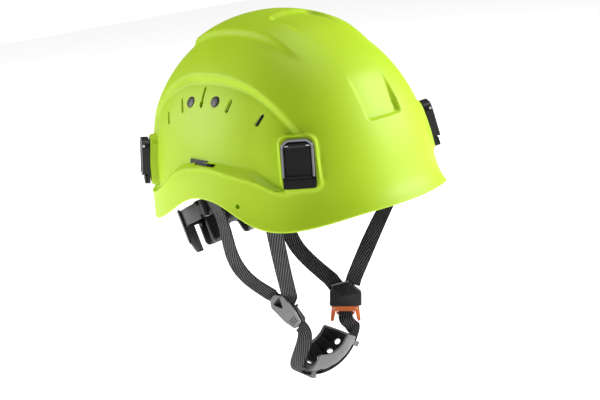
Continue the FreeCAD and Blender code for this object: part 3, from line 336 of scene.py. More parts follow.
def mouldedRelief(angle, height):
    # height of the moulded steps over the plain dome, in millimetres outwards
    f = shellForm
    point = domePoint(angle, height)
    x, y = point[..., 0], point[..., 1]
    side = np.abs(np.mod(angle + 180, 360) - 180)
    arch = splineThrough(archOuter[:, 0], archOuter[:, 1])(np.clip(side, 30, 152))
    wide = 5.5 + 9 * smoothStep(np.abs(side - 84), 25, 55)
    under = smoothStep(arch - height, 0, wide)
    inner = splineThrough(ledgeInner[:, 0], ledgeInner[:, 1])(np.clip(side, 30, 150))
    lip = splineThrough(ledgeLip[:, 0], ledgeLip[:, 1])(np.clip(side, 30, 150))
    ledge = np.clip((height - lip) / (inner - lip), 0, 1)
    ledge = ledge + 0.06 * np.sin(ledge * 2 * np.pi) * -1
    ends = smoothStep(side, 30, 37) * (1 - smoothStep(side, 140, 151))
    panel = np.minimum(under, ledge) * ends
    depth = f["panelDepth"] * (1 - 0.3 * (1 - smoothStep(side, 44, 60)) - 0.3 * smoothStep(side, 108, 128))
    relief = -depth * panel
    # proud lip along the ledge
    relief = relief + 0.9 * np.exp(-((height - lip + 1.0) / 1.7) ** 2) * ends * (height < lip + 3)
    # hood: a raised band over the crown that ends behind and fades in front
    hood = boxGap(x, y + 6, 46 - 4 * smoothStep(y, 0, 80), 84, 30)
    relief = relief + f["hoodRise"] * (1 - smoothStep(hood, -3.5, 3.5)) * smoothStep(y, -84, -34) * (height > 60)
    # dip in the crown, deepest at its rear wall
    dip = boxGap(x, y + 52, 25, 34, 7)
    relief = relief - f["crownDip"] * (1 - smoothStep(dip, -2.6, 1.2)) * smoothStep(y, -62, -26) * (height > 100)
    # brow panel, deepest at its lower edge
    brow = boxGap(x, height - 101, 20.5, 25, 4)
    brow = (1 - smoothStep(brow, -2.4, 1.2)) * (1 - smoothStep(height, 82, 116)) * (side < 40)
    relief = relief - f["browDip"] * brow
    # seat under each lamp clip, level with its plate
    for clipAngle, clipHeight in lampClips.values():
        across = (np.mod(angle - clipAngle + 180, 360) - 180) * 2.12
        gap = boxGap(across, height - clipHeight, 14.4, 21.0, 6)
        seat = 1 - smoothStep(gap, -0.4, 2.6)
        rise = f["clipPad"] + across ** 2 / 230
        relief = relief * (1 - seat) + rise * seat
    # faint moulded line on the panel
    for first, last in (((88.5, 82), (61, 75)), ((61, 75), (55.5, 80))):
        ax, ay = (side - first[0]) * 1.95, height - first[1]
        bx, by = (last[0] - first[0]) * 1.95, last[1] - first[1]
        t = np.clip((ax * bx + ay * by) / (bx * bx + by * by), 0, 1)
        relief = relief - 0.22 * np.exp(-(np.hypot(ax - t * bx, ay - t * by) / 0.9) ** 2)
    return relief


# openings: ends of each slot as plan angle and height, and its width; plugs and round holes
slots = [((122.5, 86.5), (118.5, 76.0), 2.8), ((113.5, 99.6), (108.5, 88.1), 3.0), ((95.5, 111.7), (94.0, 94.1), 3.6),
         ((72.5, 103.5), (75.0, 91.9), 4.4), ((53.5, 91.9), (57.5, 82.1), 4.6)]
roundHoles = [((104.0, 98.0), 5.0), ((84.0, 100.2), 5.0), ((65.5, 16.5), 2.0)]


def openingGaps(angle, height):
    # signed distances to every opening, one row each, in millimetres along the wall
    gaps = []
    for side in (1, -1):
        turn = np.mod(side * angle + 180, 360) - 180
        for (a0, z0), (a1, z1), wide in slots:
            k = 1.95
            s = 1.22 if z0 > 60 else 1.0
            px, py = (turn - a0) * k, (height - z0) * s
            bx, by = (a1 - a0) * k, (z1 - z0) * s
            length = np.hypot(bx, by)
            reach = wide / 2 / length
            t = np.clip((px * bx + py * by) / length ** 2, reach, 1 - reach)
            gaps.append(np.hypot(px - t * bx, py - t * by) - wide / 2)
        for (a0, z0), radius in roundHoles:
            s = 1.22 if z0 > 60 else 1.0
            k = 1.95 if z0 > 60 else 2.0
            gaps.append(np.hypot((turn - a0) * k, (height - z0) * s) - radius)
        gaps.append(boxGap((turn - 94.6) * 1.95, (height - 97.6) * 1.22, 2.6, 2.2, 0.4))
        gaps.append(boxGap((turn - 85) * 1.98, height - 47.9, 14, 1.3, 0.5))
    return np.stack(gaps)


def openedShell(name, material, rows, columns, inset, depth, lastDrop, replaced=(), lip=False):
    # grid of plan angle and height; cells inside an opening go, their border is moved onto the opening's outline,
    # and a wall runs inwards from it
    f = shellForm
    s = np.linspace(0, 1, rows)[1:]
    # even steps along the profile: the crown by its angle, the skirt straight
    domeRun = np.pi / 2 * 128
    run = s * (domeRun + 39)
    dome = np.minimum(run / domeRun, 1)
    nominal = np.where(dome < 1, f["waist"] + (f["crown"] - f["waist"]) * np.cos(dome * np.pi / 2),
                       f["waist"] - (run - domeRun))
    angle = np.arange(columns) * 360 / columns
    weight = np.clip((s - 0.5) / 0.5, 0, 1) ** 1.4
    height = nominal[:, None] + (rimHeight(angle) + lastDrop + 16)[None, :] * weight[:, None]
    angle = np.broadcast_to(angle, height.shape).copy()
    gaps = openingGaps(angle, height)
    centreAngle = angle[:-1] + 180 / columns
    centreHeight = (height[:-1] + height[1:] + np.roll(height[:-1], -1, 1) + np.roll(height[1:], -1, 1)) / 4
    gone = openingGaps(centreAngle, centreHeight).min(0) < 0
    touchGone = np.zeros(height.shape, bool)
    touchKept = np.zeros(height.shape, bool)
    for mask, target in ((gone, touchGone), (~gone, touchKept)):
        for up in (0, 1):
            for over in (0, 1):
                target[up:up + mask.shape[0]] |= np.roll(mask, over, 1)
    border = touchGone & touchKept
    near = gaps.argmin(0)
    for _ in range(3):
        value = np.take_along_axis(openingGaps(angle, height), near[None], 0)[0]
        da = (np.take_along_axis(openingGaps(angle + 0.02, height), near[None], 0)[0] - value) / 0.02
        dz = (np.take_along_axis(openingGaps(angle, height + 0.02), near[None], 0)[0] - value) / 0.02
        size = np.maximum(da ** 2 / 3.8 + dz ** 2, 1e-6)
        angle = np.where(border, angle - value * da / 3.8 / size, angle)
        height = np.where(border, height - value * dz / size, height)
    base = domePoint(angle, height)
    grow = mouldedRelief(angle, height)
    across = np.roll(base, -1, 1) - np.roll(base, 1, 1)
    along = np.gradient(base, axis=0)
    normal = unit(np.cross(along, across))
    flip = np.sign((normal * (base - np.array([0, 0, 20]))).sum(-1, keepdims=True))
    normal = normal * flip
    points = base + normal * (grow - inset)[..., None]
    pole = np.array([[0, 0, f["crown"] + mouldedRelief(np.array([0.1]), np.array([f["crown"] - 0.01]))[0] - inset]])
    count = points.shape[0] * columns
    verts = [points.reshape(-1, 3)]
    faces = gridFaces(points.shape[0], columns)[~gone.ravel()][:, ::-1]
    extra = []
    # wall of every opening
    index = np.arange(count).reshape(height.shape)
    right = np.roll(gone, -1, 1)
    cut = gone ^ right
    r, c = np.nonzero(cut)
    top, bottom = index[r, (c + 1) % columns], index[r + 1, (c + 1) % columns]
    fromLeft = gone[r, c]
    edges = [np.where(fromLeft[:, None], np.stack([top, bottom], 1), np.stack([bottom, top], 1))]
    cut = gone[:-1] ^ gone[1:]
    r, c = np.nonzero(cut)
    left, rightSide = index[r + 1, c], index[r + 1, (c + 1) % columns]
    fromAbove = gone[:-1][r, c]
    edges.append(np.where(fromAbove[:, None], np.stack([rightSide, left], 1), np.stack([left, rightSide], 1)))
    edges = np.concatenate(edges)
    flatNormal = normal.reshape(-1, 3)
    ids = np.unique(edges)
    renumber = np.full(count, -1)
    renumber[ids] = count + np.arange(len(ids))
    if depth and len(ids):
        verts.append(verts[0][ids] - flatNormal[ids] * depth)
        extra.append(np.stack([edges[:, 1], edges[:, 0], renumber[edges[:, 0]], renumber[edges[:, 1]]], 1))
    total = sum(len(v) for v in verts)
    if lip:
        # rounded lip: half a circle of the wall's thickness, then the hem inside
        last, out = points[-1], normal[-1]
        down = unit(points[-1] - points[-3])
        half = f["wall"] / 2
        turn = np.linspace(0, np.pi, f["lipRows"])[1:]
        ring = (last - out * half)[None] + half * (np.cos(turn)[:, None, None] * out[None]
                                                    + np.sin(turn)[:, None, None] * down[None])
        hem = []
        for k in range(1, 6):
            h = height[-1] + f["hemHeight"] * k / 5
            p = domePoint(angle[-1], h)
            n2 = unit(np.cross(domePoint(angle[-1] + 0.5, h) - domePoint(angle[-1] - 0.5, h),
                               domePoint(angle[-1], h + 0.5) - domePoint(angle[-1], h - 0.5)))
            n2 = n2 * np.sign((n2 * p * [1, 1, 0]).sum(-1, keepdims=True))
            hem.append(p + n2 * (mouldedRelief(angle[-1], h) - f["wall"])[..., None])
        ring = np.concatenate([ring, np.array(hem)])
        verts.append(ring.reshape(-1, 3))
        lipFaces = gridFaces(len(ring) + 1, columns)[:, ::-1]
        remap = np.concatenate([index[-1], total + np.arange(len(ring) * columns)])
        extra.append(remap[lipFaces])
        total += len(ring) * columns
    verts.append(pole)
    first = index[0]
    fan = np.stack([np.full(columns, total), first, np.roll(first, -1)], 1)
    allFaces = [faces.tolist()] + [e.tolist() for e in extra] + [fan.tolist()]
    allFaces = [q for group in allFaces for q in group]
    return meshPiece(name, np.concatenate(verts), allFaces, material, "helmet", replaced)


shellSkin = openedShell("shellSkin", materials["lime_shell"], shellForm["rows"], shellForm["columns"],
                        0, 3.0, 0, ("shell",), lip=True)
# a near-black sheet just inside the wall, ending above the rim: painted shade for the inside of the shell
openedShell("shellShadeSheet", paintedShadeLiner, 110, 320, 3.1, 0, 7.5)
print("shell made:", len(shellSkin.data.polygons), "faces")


# webbing: a flat superelliptic section carried along a smooth path, its long side turning evenly

webForm = {"wide": 15, "thick": 1.6, "round": 24, "corner": 0.36, "stations": 120}
adjusterAt = {"origin": (-46, -28.5, -99.5), "x": (0.08711, -0.74466, -0.66174), "y": (0.21191, -0.63521, 0.7427)}
buckleAt = {"origin": (46, -13, -115), "x": (0.70509, -0.70509, -0.07539), "y": (0.15696, 0.05151, 0.98626)}
cupAt = {"origin": (-8, -22, -126), "x": (0.91808, -0.22207, 0.32834), "y": (0.24993, 0.96723, -0.04466)}
napeAt = {"origin": (0, 0, 10), "x": (1, 0, 0), "y": (0, 0.9205, -0.39073)}


def inFrame(frameAt, local):
    # local millimetres to the helmet's frame
    x, y = np.array(frameAt["x"]), np.array(frameAt["y"])
    local = np.asarray(local, float)
    return (np.array(frameAt["origin"]) + local[..., :1] * x + local[..., 1:2] * y
            + local[..., 2:3] * np.cross(x, y))


def pathThrough(points, stations):
    points = np.asarray(points, float)
    run = np.concatenate([[0], np.cumsum(np.linalg.norm(np.diff(points, axis=0), axis=1))])
    curve = splineThrough(run, points)
    fine = curve(np.linspace(0, run[-1], stations * 4))
    length = np.concatenate([[0], np.cumsum(np.linalg.norm(np.diff(fine, axis=0), axis=1))])
    even = np.linspace(0, length[-1], stations)
    return np.stack([np.interp(even, length, fine[:, k]) for k in range(3)], 1), even


def webStrap(name, path, along, sides, body, replaced, wide=None, thick=None):
    wide, thick = wide or webForm["wide"], thick or webForm["thick"]
    tangent = unit(np.gradient(path, axis=0))
    side = unit(sides - tangent * (sides * tangent).sum(-1, keepdims=True))
    out = np.cross(tangent, side)
    turn = np.linspace(0, 2 * np.pi, webForm["round"], endpoint=False)
    p = webForm["corner"]
    u = np.sign(np.cos(turn)) * np.abs(np.cos(turn)) ** p * wide / 2
    v = np.sign(np.sin(turn)) * np.abs(np.sin(turn)) ** (p + 0.2) * thick / 2
    points = path[:, None] + u[None, :, None] * side[:, None] + v[None, :, None] * out[:, None]
    rows, columns = len(path), len(turn)
    flat = np.stack([np.broadcast_to(u, (rows, columns)), np.broadcast_to(along[:, None], (rows, columns))], -1)
    faces = gridFaces(rows, columns).tolist()
    faces += [list(range(columns))[::-1], list(range((rows - 1) * columns, rows * columns))]
    return meshPiece(name, points.reshape(-1, 3), faces, materials["black_webbing"], body,
                     replaced, flat.reshape(-1, 2), 1.2)


def turning(first, last, stations):
    t = np.linspace(0, 1, stations)[:, None]
    return np.array(first) * (1 - t) + np.array(last) * t


def shellInside(angle, height, inset):
    # a point inside the dome, the plan scaled like the smaller superellipse of an inner wall
    point = domePoint(np.array(float(angle)), np.array(float(height)))
    reach = np.hypot(point[0], point[1])
    return point * np.array([1 - inset / reach, 1 - inset / reach, 1])


sideStraps = {
    "right_front": {"anchor": (52, 12), "middle": [(-70, -53, -42)], "end": (adjusterAt, (-7, 12.5, 0), (-5, 5, 0.1)),
                    "turn": (0.55, -0.8, -0.2)},
    "right_rear": {"anchor": (86, 28), "middle": [(-96, -10, 2), (-84, -6, -38), (-64, -4, -70)],
                   "end": (adjusterAt, (-19.5, -1, 0), (-11, -1, 0.1)), "turn": (0, -0.55, 0.83)},
    "left_front": {"anchor": (-58, 15), "middle": [(75, -38, -46)], "end": (buckleAt, (9, 15.5, 0), (7, 8.5, 0)),
                   "turn": (0.75, -0.66, 0)},
    "left_rear": {"anchor": (-140, 0), "middle": [(76, 92, -40), (64, 76, -71), (50, 38, -90)],
                  "end": (buckleAt, (-13.6, 14, 0), (-8, 6.5, 0)), "turn": (0.71, -0.49, 0.51)},
}
for word, strap in sideStraps.items():
    angle, height = strap["anchor"]
    start = shellInside(angle, height - 7.4, 9.4)
    across = domePoint(np.array(angle - 0.5), np.array(float(height))) - domePoint(np.array(angle + 0.5),
                                                                                    np.array(float(height)))
    across = unit(across)
    endSide = np.array(strap["turn"])
    across = across * np.sign((across * endSide).sum())
    heldIn, near, inside = strap["end"]
    stops = [start] + [np.array(p, float) for p in strap["middle"]] + [inFrame(heldIn, near)]
    path, along = pathThrough(stops, webForm["stations"])
    sides = turning(across, endSide, len(path))
    tail, _ = pathThrough([path[-1], inFrame(heldIn, inside)], 8)
    path = np.concatenate([path, tail[1:]])
    sides = np.concatenate([sides, np.repeat(sides[-1:], 7, 0)])
    along = np.concatenate([[0], np.cumsum(np.linalg.norm(np.diff(path, axis=0), axis=1))])
    webStrap("webbing_" + word, path, along, sides, "helmet", ["chin_strap_" + word])

# lower strap: from the adjuster, round under the cup, up to the tongue
arc = np.radians(np.linspace(-44.6, 44.6, 25))
under = inFrame(cupAt, np.stack([46.7 * np.sin(arc), 0 * arc, -46.7 * np.cos(arc)], 1))
adjusterOut, buckleUp = np.array(adjusterAt["x"]), np.array(buckleAt["y"])


def bridgeBetween(start, leave, arrive, end, stations):
    t = np.linspace(0, 1, stations)[:, None]
    return ((1 - t) ** 3 * start + 3 * (1 - t) ** 2 * t * (start + leave) + 3 * (1 - t) * t * t * (end - arrive)
            + t ** 3 * end)


leaving = bridgeBetween(inFrame(adjusterAt, (21.5, 0, 0)), adjusterOut * 14, unit(under[1] - under[0]) * 16,
                        under[0], 30)
rising = bridgeBetween(under[-1], unit(under[-1] - under[-2]) * 8, buckleUp * 8,
                       inFrame(buckleAt, (0, -21.6, 2.9)), 30)
stub = inFrame(adjusterAt, np.array([(18.2, 0, 0), (19.2, 0, 0), (20.3, 0, 0)]))
hook = inFrame(buckleAt, np.array([(0, -20, 3.1), (0, -18.4, 2.9), (0, -17.4, 2.0), (0, -17.2, 0.6)]))
path = np.concatenate([stub, leaving, under[1:-1], rising, hook])
acrossAdjuster, level, acrossTongue = np.array(adjusterAt["y"]), np.array(cupAt["y"]), np.array(buckleAt["x"])
acrossAdjuster = acrossAdjuster * np.sign(acrossAdjuster @ level)
acrossTongue = acrossTongue * np.sign(acrossTongue @ level)
sides = np.concatenate([np.repeat(acrossAdjuster[None], 3, 0), turning(acrossAdjuster, level, 30),
                        np.repeat(level[None], 23, 0), turning(level, acrossTongue, 30),
                        np.repeat(acrossTongue[None], 4, 0)])
along = np.concatenate([[0], np.cumsum(np.linalg.norm(np.diff(path, axis=0), axis=1))])
webStrap("webbing_lower", path, along, sides, "chin", ["chin_strap_lower"], 14)

# cradle: three straps over the crown
for layer, (word, angle) in enumerate((("front_right", 20), ("across", 90), ("front_left", -20))):
    start, end = shellInside(angle, 44, 13.5), shellInside(angle + 180, 44, 13.5)
    turn = np.linspace(0, np.pi, 9)
    edge = np.where(turn[:, None] <= np.pi / 2, start, end)
    stops = edge * np.abs(np.cos(turn))[:, None]
    stops[:, 2] = 48 + (69 + 2.6 * layer) * np.sin(turn)
    path, along = pathThrough(stops, 90)
    flat = unit(np.cross([0, 0, 1.0], start - end))
    webStrap("cradle_" + word, path, along, np.repeat(flat[None], 90, 0), "helmet", ["cradle_strap_" + word], 20)
print("webbing made")


# soft pads: two layers joined along every border

def softSheet(name, outer, inner, body, replaced, gone=None):
    rows, columns = outer.shape[:2]
    if gone is None:
        gone = np.zeros((rows - 1, columns - 1), bool)
    kept = ~gone
    index = np.arange(rows * columns).reshape(rows, columns)
    top = np.stack([index[:-1, :-1], index[:-1, 1:], index[1:, 1:], index[1:, :-1]], -1)[kept]
    frameMask = np.pad(gone, 1, constant_values=True)
    walls = []
    count = rows * columns
    for dr, dc, a, b in ((0, 1, 0, 1), (1, 2, 1, 2), (2, 1, 2, 3), (1, 0, 3, 0)):
        edge = kept & frameMask[dr:dr + rows - 1, dc:dc + columns - 1]
        quad = np.stack([index[:-1, :-1], index[:-1, 1:], index[1:, 1:], index[1:, :-1]], -1)[edge]
        walls.append(np.stack([quad[:, b], quad[:, a], quad[:, a] + count, quad[:, b] + count], 1))
    faces = np.concatenate([top, top[:, ::-1] + count] + walls)
    points = np.concatenate([outer.reshape(-1, 3), inner.reshape(-1, 3)])
    used = np.unique(faces)
    renumber = np.full(len(points), -1)
    renumber[used] = np.arange(len(used))
    piece = meshPiece(name, points[used], renumber[faces], materials["pad_fabric"], body, replaced,
                      None, 1.3)
    return piece


def pillow(value):
    # 1 in the middle, falling to 0 along a rounded edge
    return np.sqrt(np.clip(1 - np.abs(value) ** 5, 0, 1))


# sweatband: an elliptic arc inside the headband, quilted in upright ribs
turn, rise = np.meshgrid(np.linspace(-1, 1, 200), np.linspace(-1, 1, 28), indexing="ij")
spread = np.radians(69) * turn
face = pillow(turn) * pillow(rise)
quilt = 1 - 0.3 * np.abs(np.cos(turn * 26)) ** 12


def bandSurface(inset):
    return np.stack([(80 - inset) * np.sin(spread), 6 - (100 - inset) * np.cos(spread), 35 + 11.8 * rise], -1)


softSheet("sweatPad", bandSurface(2.5 + 0 * turn), bandSurface(2.5 + 3.2 * face * quilt + 0.15), "helmet",
          ["sweatband"])

# crown pad: a quilted disc under the cradle
radius, round_ = np.meshgrid(np.linspace(0.001, 1, 40), np.linspace(0, 2 * np.pi, 121), indexing="ij")
dome = pillow(radius) * (1 - 0.25 * np.abs(np.cos(radius * 13)) ** 10)
disc = np.stack([36 * radius * np.cos(round_), 36 * radius * np.sin(round_), 107 + 0 * radius], -1)
lift = np.stack([0 * dome, 0 * dome, dome * 2.8], -1)
softSheet("crownPad", disc + lift, disc - lift, "helmet", ["crown_pad"])

# nape pad: a bar with two wings in front of the housing
u, t = np.meshgrid(np.linspace(-1, 1, 90), np.linspace(0, 1, 50), indexing="ij")
low = -13 - 14 * smoothStep(np.abs(u) * 30, 8, 15)
high = 12 - 3 * np.abs(u) ** 8
tall = low + (high - low) * t
plump = pillow(u) * pillow(2 * t - 1) * (1 - 0.25 * np.abs(np.cos(u * 9)) ** 14)
back = inFrame(napeAt, np.stack([30 * u, 97 + 0 * u, tall], -1))
fore = inFrame(napeAt, np.stack([30 * u, 97 - 0.2 - 4.8 * plump, tall], -1))
softSheet("napePad", fore, back, "nape_housing", ["nape_pad"])

# cup liner: a channel bent round the chin, thin fabric with the cup's own holes
cupForm = {"radius": 45, "lip": 26, "half": 21, "reach": 40.1}


def troughPoint(angle, swing, radius, lip, half):
    middle = (radius ** 2 - half ** 2 - lip ** 2) / (2 * (radius - lip))
    bend = radius - middle
    spreadEnd = np.arctan2(half, lip - middle)
    out = middle + bend * np.cos(spreadEnd * swing)
    return np.stack([out * np.sin(angle), bend * np.sin(spreadEnd * swing), -out * np.cos(angle)], -1)


def cupHoles():
    axes = []
    for turnDeg in (-26, -9, 9, 26):
        for lean in (-38, 38):
            a, b = np.radians(lean), np.radians(turnDeg)
            way = np.array([0, np.sin(a), -np.cos(a)])
            point = np.array([0, 0, -28.0])
            spin = np.array([[np.cos(b), 0, np.sin(b)], [0, 1, 0], [-np.sin(b), 0, np.cos(b)]])
            axes.append((spin @ point, spin @ way))
    return axes


def holeGap(points):
    gaps, away = [], []
    for point, way in cupHoles():
        rel = points - point
        rel = rel - (rel @ way)[..., None] * way
        size = np.linalg.norm(rel, axis=-1)
        front = ((points - point) @ way) > -2
        gaps.append(np.where(front, size, 99))
        away.append(rel / np.maximum(size, 1e-6)[..., None])
    gaps, away = np.stack(gaps), np.stack(away)
    pick = gaps.argmin(0)
    return gaps.min(0), np.take_along_axis(away, pick[None, ..., None], 0)[0]


angle, swing = np.meshgrid(np.radians(np.linspace(-39, 39, 130)), np.linspace(-0.97, 0.97, 110), indexing="ij")
edgeFall = pillow(angle / np.radians(39)) * pillow(swing / 0.97)
linerOuter = troughPoint(angle, swing, cupForm["radius"] - 2.35, cupForm["lip"] - 0.5, cupForm["half"] - 2.3)
plump = 2.2 * edgeFall * (1 - 0.35 * np.abs(np.cos(angle * 9)) ** 14)
inward = unit(troughPoint(angle, swing, 30, 18, 10) - linerOuter)
linerInner = linerOuter + inward * (plump + 0.25)[..., None]
middleLayer = (linerOuter + linerInner) / 2
centreCell = (middleLayer[:-1, :-1] + middleLayer[1:, :-1] + middleLayer[:-1, 1:] + middleLayer[1:, 1:]) / 4
gone = holeGap(centreCell)[0] < 3.0
touch = np.zeros(angle.shape, int)
for up in (0, 1):
    for over in (0, 1):
        touch[up:up + gone.shape[0], over:over + gone.shape[1]] += np.where(gone, 1, 10)
border = (touch % 10 > 0) & (touch >= 10)
for layer in (linerOuter, linerInner):
    gap, away = holeGap(layer)
    layer[border] += (away * (3.05 - gap)[..., None])[border]
softSheet("cupLining", inFrame(cupAt, linerInner), inFrame(cupAt, linerOuter), "cup", ["chin_cup_liner"], gone)


def roundTube(name, path, radius, material, body):
    # closed tube along a closed path
    tangent = unit(np.roll(path, -1, 0) - np.roll(path, 1, 0))
    centreAll = path.mean(0)
    side = unit(np.cross(tangent, path - centreAll))
    out = np.cross(side, tangent)
    turn = np.linspace(0, 2 * np.pi, 14, endpoint=False)
    ring = (np.cos(turn)[None, :, None] * side[:, None]
            + np.sin(turn)[None, :, None] * out[:, None]) * radius
    points = path[:, None] + ring
    count, columns = len(path), len(turn)
    r, c = np.meshgrid(np.arange(count), np.arange(columns), indexing="ij")
    n, m = (c + 1) % columns, (r + 1) % count
    faces = np.stack([r * columns + c, r * columns + n, m * columns + n, m * columns + c], -1).reshape(-1, 4)
    return meshPiece(name, points.reshape(-1, 3), faces, material, body)


# rolled rim round the cup
lengthWise, cross = np.radians(cupForm["reach"] * np.linspace(-1, 1, 60)), np.linspace(-1, 1, 50)
full = np.radians(cupForm["reach"])
loop = np.concatenate([
    troughPoint(lengthWise, 1 + 0 * lengthWise, 44.2, 26, 20.6),
    troughPoint(full + 0 * cross, -cross, 43.9, 26, 20.6)[1:-1],
    troughPoint(-lengthWise, -1 + 0 * lengthWise, 44.2, 26, 20.6),
    troughPoint(-full + 0 * cross, cross, 43.9, 26, 20.6)[1:-1]])
for _ in range(3):
    loop = (np.roll(loop, 1, 0) + loop * 2 + np.roll(loop, -1, 0)) / 4
roundTube("cupRim", inFrame(cupAt, loop), 1.35, materials["grey_rubber"], "cup")

# round plugs, flush in the sunken panel
plugProfile = np.array([(0.001, 0.9), (2.2, 0.85), (4.0, 0.7), (4.7, 0.45), (4.95, 0.0), (4.95, -3.2), (0.001, -3.2)])
for word, sign in (("right", 1), ("left", -1)):
    points, faces = [], []
    for plugAngle, plugHeight in ((104.0, 98.0), (84.0, 100.2)):
        angle, height = np.array(sign * plugAngle), np.array(plugHeight)
        here = domePoint(angle, height)
        across = unit(domePoint(angle + 0.5, height) - domePoint(angle - 0.5, height))
        up = unit(domePoint(angle, height + 0.5) - domePoint(angle, height - 0.5))
        out = unit(np.cross(across, up))
        out = out * np.sign((out * here * [1, 1, 0]).sum())
        here = here + out * mouldedRelief(angle, height)
        across = np.cross(up, out)
        turn = np.linspace(0, 2 * np.pi, 32, endpoint=False)
        ring = (here + plugProfile[:, None, :1] * (np.cos(turn)[None, :, None] * across
                                                   + np.sin(turn)[None, :, None] * up)
                + plugProfile[:, None, 1:] * out)
        faces.append(gridFaces(len(plugProfile), 32)[:, ::-1] + sum(len(p) for p in points))
        points.append(ring.reshape(-1, 3))
    meshPiece("plugs_" + word, np.concatenate(points), np.concatenate(faces), materials["black_plastic"], "helmet",
              ["round_plugs_" + word])

# faceted cap on the buckle: five flat faces that meet in an off-centre peak, and a pale rim over its shoulder
capOutline = np.array([(-15.2, -11.2), (15.2, -11.2), (15.2, 1.6), (3.6, 11.2), (-12.4, 7.8), (-15.2, 1.8)])
peak = np.array([(-2.5, -1.5, 8.2)])
low = np.concatenate([capOutline, np.full((6, 1), 4.0)], 1)
mid = np.concatenate([capOutline * 0.97, np.full((6, 1), 5.6)], 1)
capPoints = np.concatenate([low, mid, peak, [[0, 0, 4.0]]])
capFaces = [[k, (k + 1) % 6, (k + 1) % 6 + 6, k + 6] for k in range(6)]
capFaces += [[k + 6, (k + 1) % 6 + 6, 12] for k in range(6)] + [[(k + 1) % 6, k, 13] for k in range(6)]
cap = meshPiece("buckleCap", inFrame(buckleAt, capPoints), capFaces, materials["black_plastic"], "helmet",
                (), None, 0.1)
bevel = cap.modifiers.new("bevel", "BEVEL")
bevel.width = 0.0004
bevel.segments = 2
crest = np.array([(-13.4, 8.2), (-8, 9.6), (-2, 11.0), (3.2, 12.1)])
path, along = pathThrough(np.concatenate([crest, np.full((4, 1), 3.6)], 1), 20)
turn = np.linspace(0, 2 * np.pi, 12, endpoint=False)
ring = (path[:, None] + np.cos(turn)[None, :, None] * np.array([0, 0.9, 0])
        + np.sin(turn)[None, :, None] * np.array([0, 0, 1.2]))
faces = gridFaces(20, 12)[:, ::-1].tolist() + [list(range(12)), list(range(19 * 12, 20 * 12))[::-1]]
meshPiece("buckleCrest", inFrame(buckleAt, ring).reshape(-1, 3), faces, dividerGrey, "helmet")

# small studs on the divider's lower end
turn = np.linspace(0, 2 * np.pi, 10, endpoint=False)
studs, faces = [], []
for row in range(3):
    for column in range(5):
        centre = np.array([9.5 + row * 2.2, (column - 2) * 1.7, 0])
        for radius, height in ((0.55, 3.3), (0.5, 3.75), (0.001, 3.85)):
            studs.append(np.stack([centre[0] + radius * np.cos(turn), centre[1] + radius * np.sin(turn),
                                   height + 0 * turn], -1))
        faces.append(gridFaces(3, 10) + (row * 5 + column) * 30)
meshPiece("dividerStuds", inFrame(adjusterAt, np.concatenate(studs)), np.concatenate(faces),
          materials["black_plastic"], "helmet")

# grey bezel line round three sides of each lamp clip
for word, (clipAngle, clipHeight) in lampClips.items():
    here = domePoint(np.array(clipAngle), np.array(clipHeight))
    across = domePoint(np.array(clipAngle - 0.5), np.array(clipHeight)) - domePoint(np.array(clipAngle + 0.5),
                                                                                    np.array(clipHeight))
    up = domePoint(np.array(clipAngle), np.array(clipHeight + 0.5)) - domePoint(np.array(clipAngle),
                                                                                np.array(clipHeight - 0.5))
    out = unit(np.cross(across, up))
    if out[0] * here[0] + out[1] * here[1] < 0:
        out, across = -out, -across
    clipAt = {"origin": here, "x": unit(across), "y": np.cross(out, unit(across))}
    corner = np.linspace(0, np.pi / 2, 9)
    right = np.stack([12.3 - 6.5 + 6.5 * np.cos(corner), 18.8 - 6.5 + 6.5 * np.sin(corner)], 1)
    outline = np.concatenate([[(12.3, -10.5), (12.3, -2), (12.3, 6)], right, [(0, 18.8)], (right * [-1, 1])[::-1],
                              [(-12.3, 6), (-12.3, -2), (-12.3, -10.5)]])
    path, along = pathThrough(np.concatenate([outline, np.full((len(outline), 1), 8.15)], 1), 90)
    t = unit(np.gradient(path, axis=0))
    sideWay = np.cross(t, [0, 0, 1.0])
    turn = np.linspace(0, 2 * np.pi, 12, endpoint=False)
    ring = (path[:, None] + np.cos(turn)[None, :, None] * sideWay[:, None] * 0.85
            + np.sin(turn)[None, :, None] * np.array([0, 0, 0.5]))
    faces = gridFaces(len(path), 12).tolist() + [list(range(12))[::-1], list(range(89 * 12, 90 * 12))]
    meshPiece("bezelLine_" + word, inFrame(clipAt, ring).reshape(-1, 3), faces, bezelGrey, "helmet")
print("pads and trim made")


# camera and light

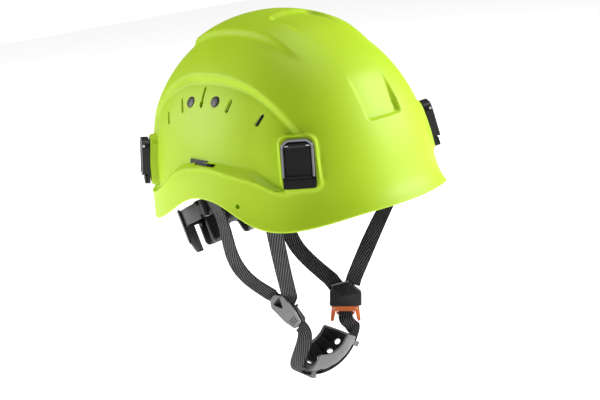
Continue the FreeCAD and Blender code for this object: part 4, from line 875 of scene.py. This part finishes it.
camera = bpy.data.objects.new("camera", bpy.data.cameras.new("camera"))
bpy.context.scene.collection.objects.link(camera)
camera.data.lens = 70.94
camera.data.sensor_width = 36
camera.data.clip_start = 0.05
camera.data.clip_end = 50
rightWay, upWay, backWay = (0.701, -0.707, -0.092), (0.247, 0.119, 0.962), (-0.669, -0.697, 0.258)
turnTo = Matrix((rightWay, upWay, backWay)).transposed().to_4x4()
camera.matrix_world = Matrix.Translation((-0.7225, -0.7631, 0.2679)) @ turnTo
bpy.context.scene.camera = camera

studio = {
    "key": {"place": (1.35, -1.15, 0.75), "size": 0.9, "power": 38},
    "top": {"place": (0.25, -0.1, 1.7), "size": 1.1, "power": 12},
    "rear": {"place": (-1.15, 1.35, 0.65), "size": 0.9, "power": 23},
    "low": {"place": (-1.0, -1.0, -0.05), "size": 1.2, "power": 0.6},
}
for name, lamp in studio.items():
    light = bpy.data.lights.new(name, "AREA")
    light.shape = "DISK"
    light.size = lamp["size"]
    light.energy = lamp["power"]
    holder = bpy.data.objects.new(name, light)
    bpy.context.scene.collection.objects.link(holder)
    place = np.array(lamp["place"])
    aim = unit(place - np.array([0, 0, 0.02]))
    side = unit(np.cross([0, 0, 1.0], aim))
    holder.matrix_world = Matrix.Translation(place) @ Matrix((side, np.cross(aim, side), aim)).transposed().to_4x4()

world = bpy.data.worlds.new("studio")
bpy.context.scene.world = world
world.use_nodes = True
tree = world.node_tree
rays = Wire(tree, tree.nodes.new("ShaderNodeLightPath").outputs["Is Camera Ray"])
backdrop = tree.nodes["Background"]
backdrop.inputs["Color"].default_value = (1, 1, 1, 1)
tree.links.new((rays * 0.9 + 0.11).socket, backdrop.inputs["Strength"])    # white behind, softer as a light

floorPlace, floorFinish, _ = newMaterial("paleFloor", specular=0.2)
floorMaterial = floorFinish(colour=floorPlace.noise(3, 2).blend((0.92, 0.92, 0.92), (0.95, 0.95, 0.95)), rough=0.8)
glow = floorMaterial.node_tree.nodes["Principled BSDF"]
glow.inputs["Emission Color"].default_value = (1, 1, 1, 1)
glow.inputs["Emission Strength"].default_value = 0.78
floorMesh = bpy.data.meshes.new("floor")
floorMesh.from_pydata([(-3, -3, -0.19), (3, -3, -0.19), (3, 3, -0.19), (-3, 3, -0.19)], [], [(0, 1, 2, 3)])
floorMesh.materials.append(floorMaterial)
floor = bpy.data.objects.new("floor", floorMesh)
bpy.context.scene.collection.objects.link(floor)
bpy.context.scene.view_settings.view_transform = "Standard"

print("scene done")
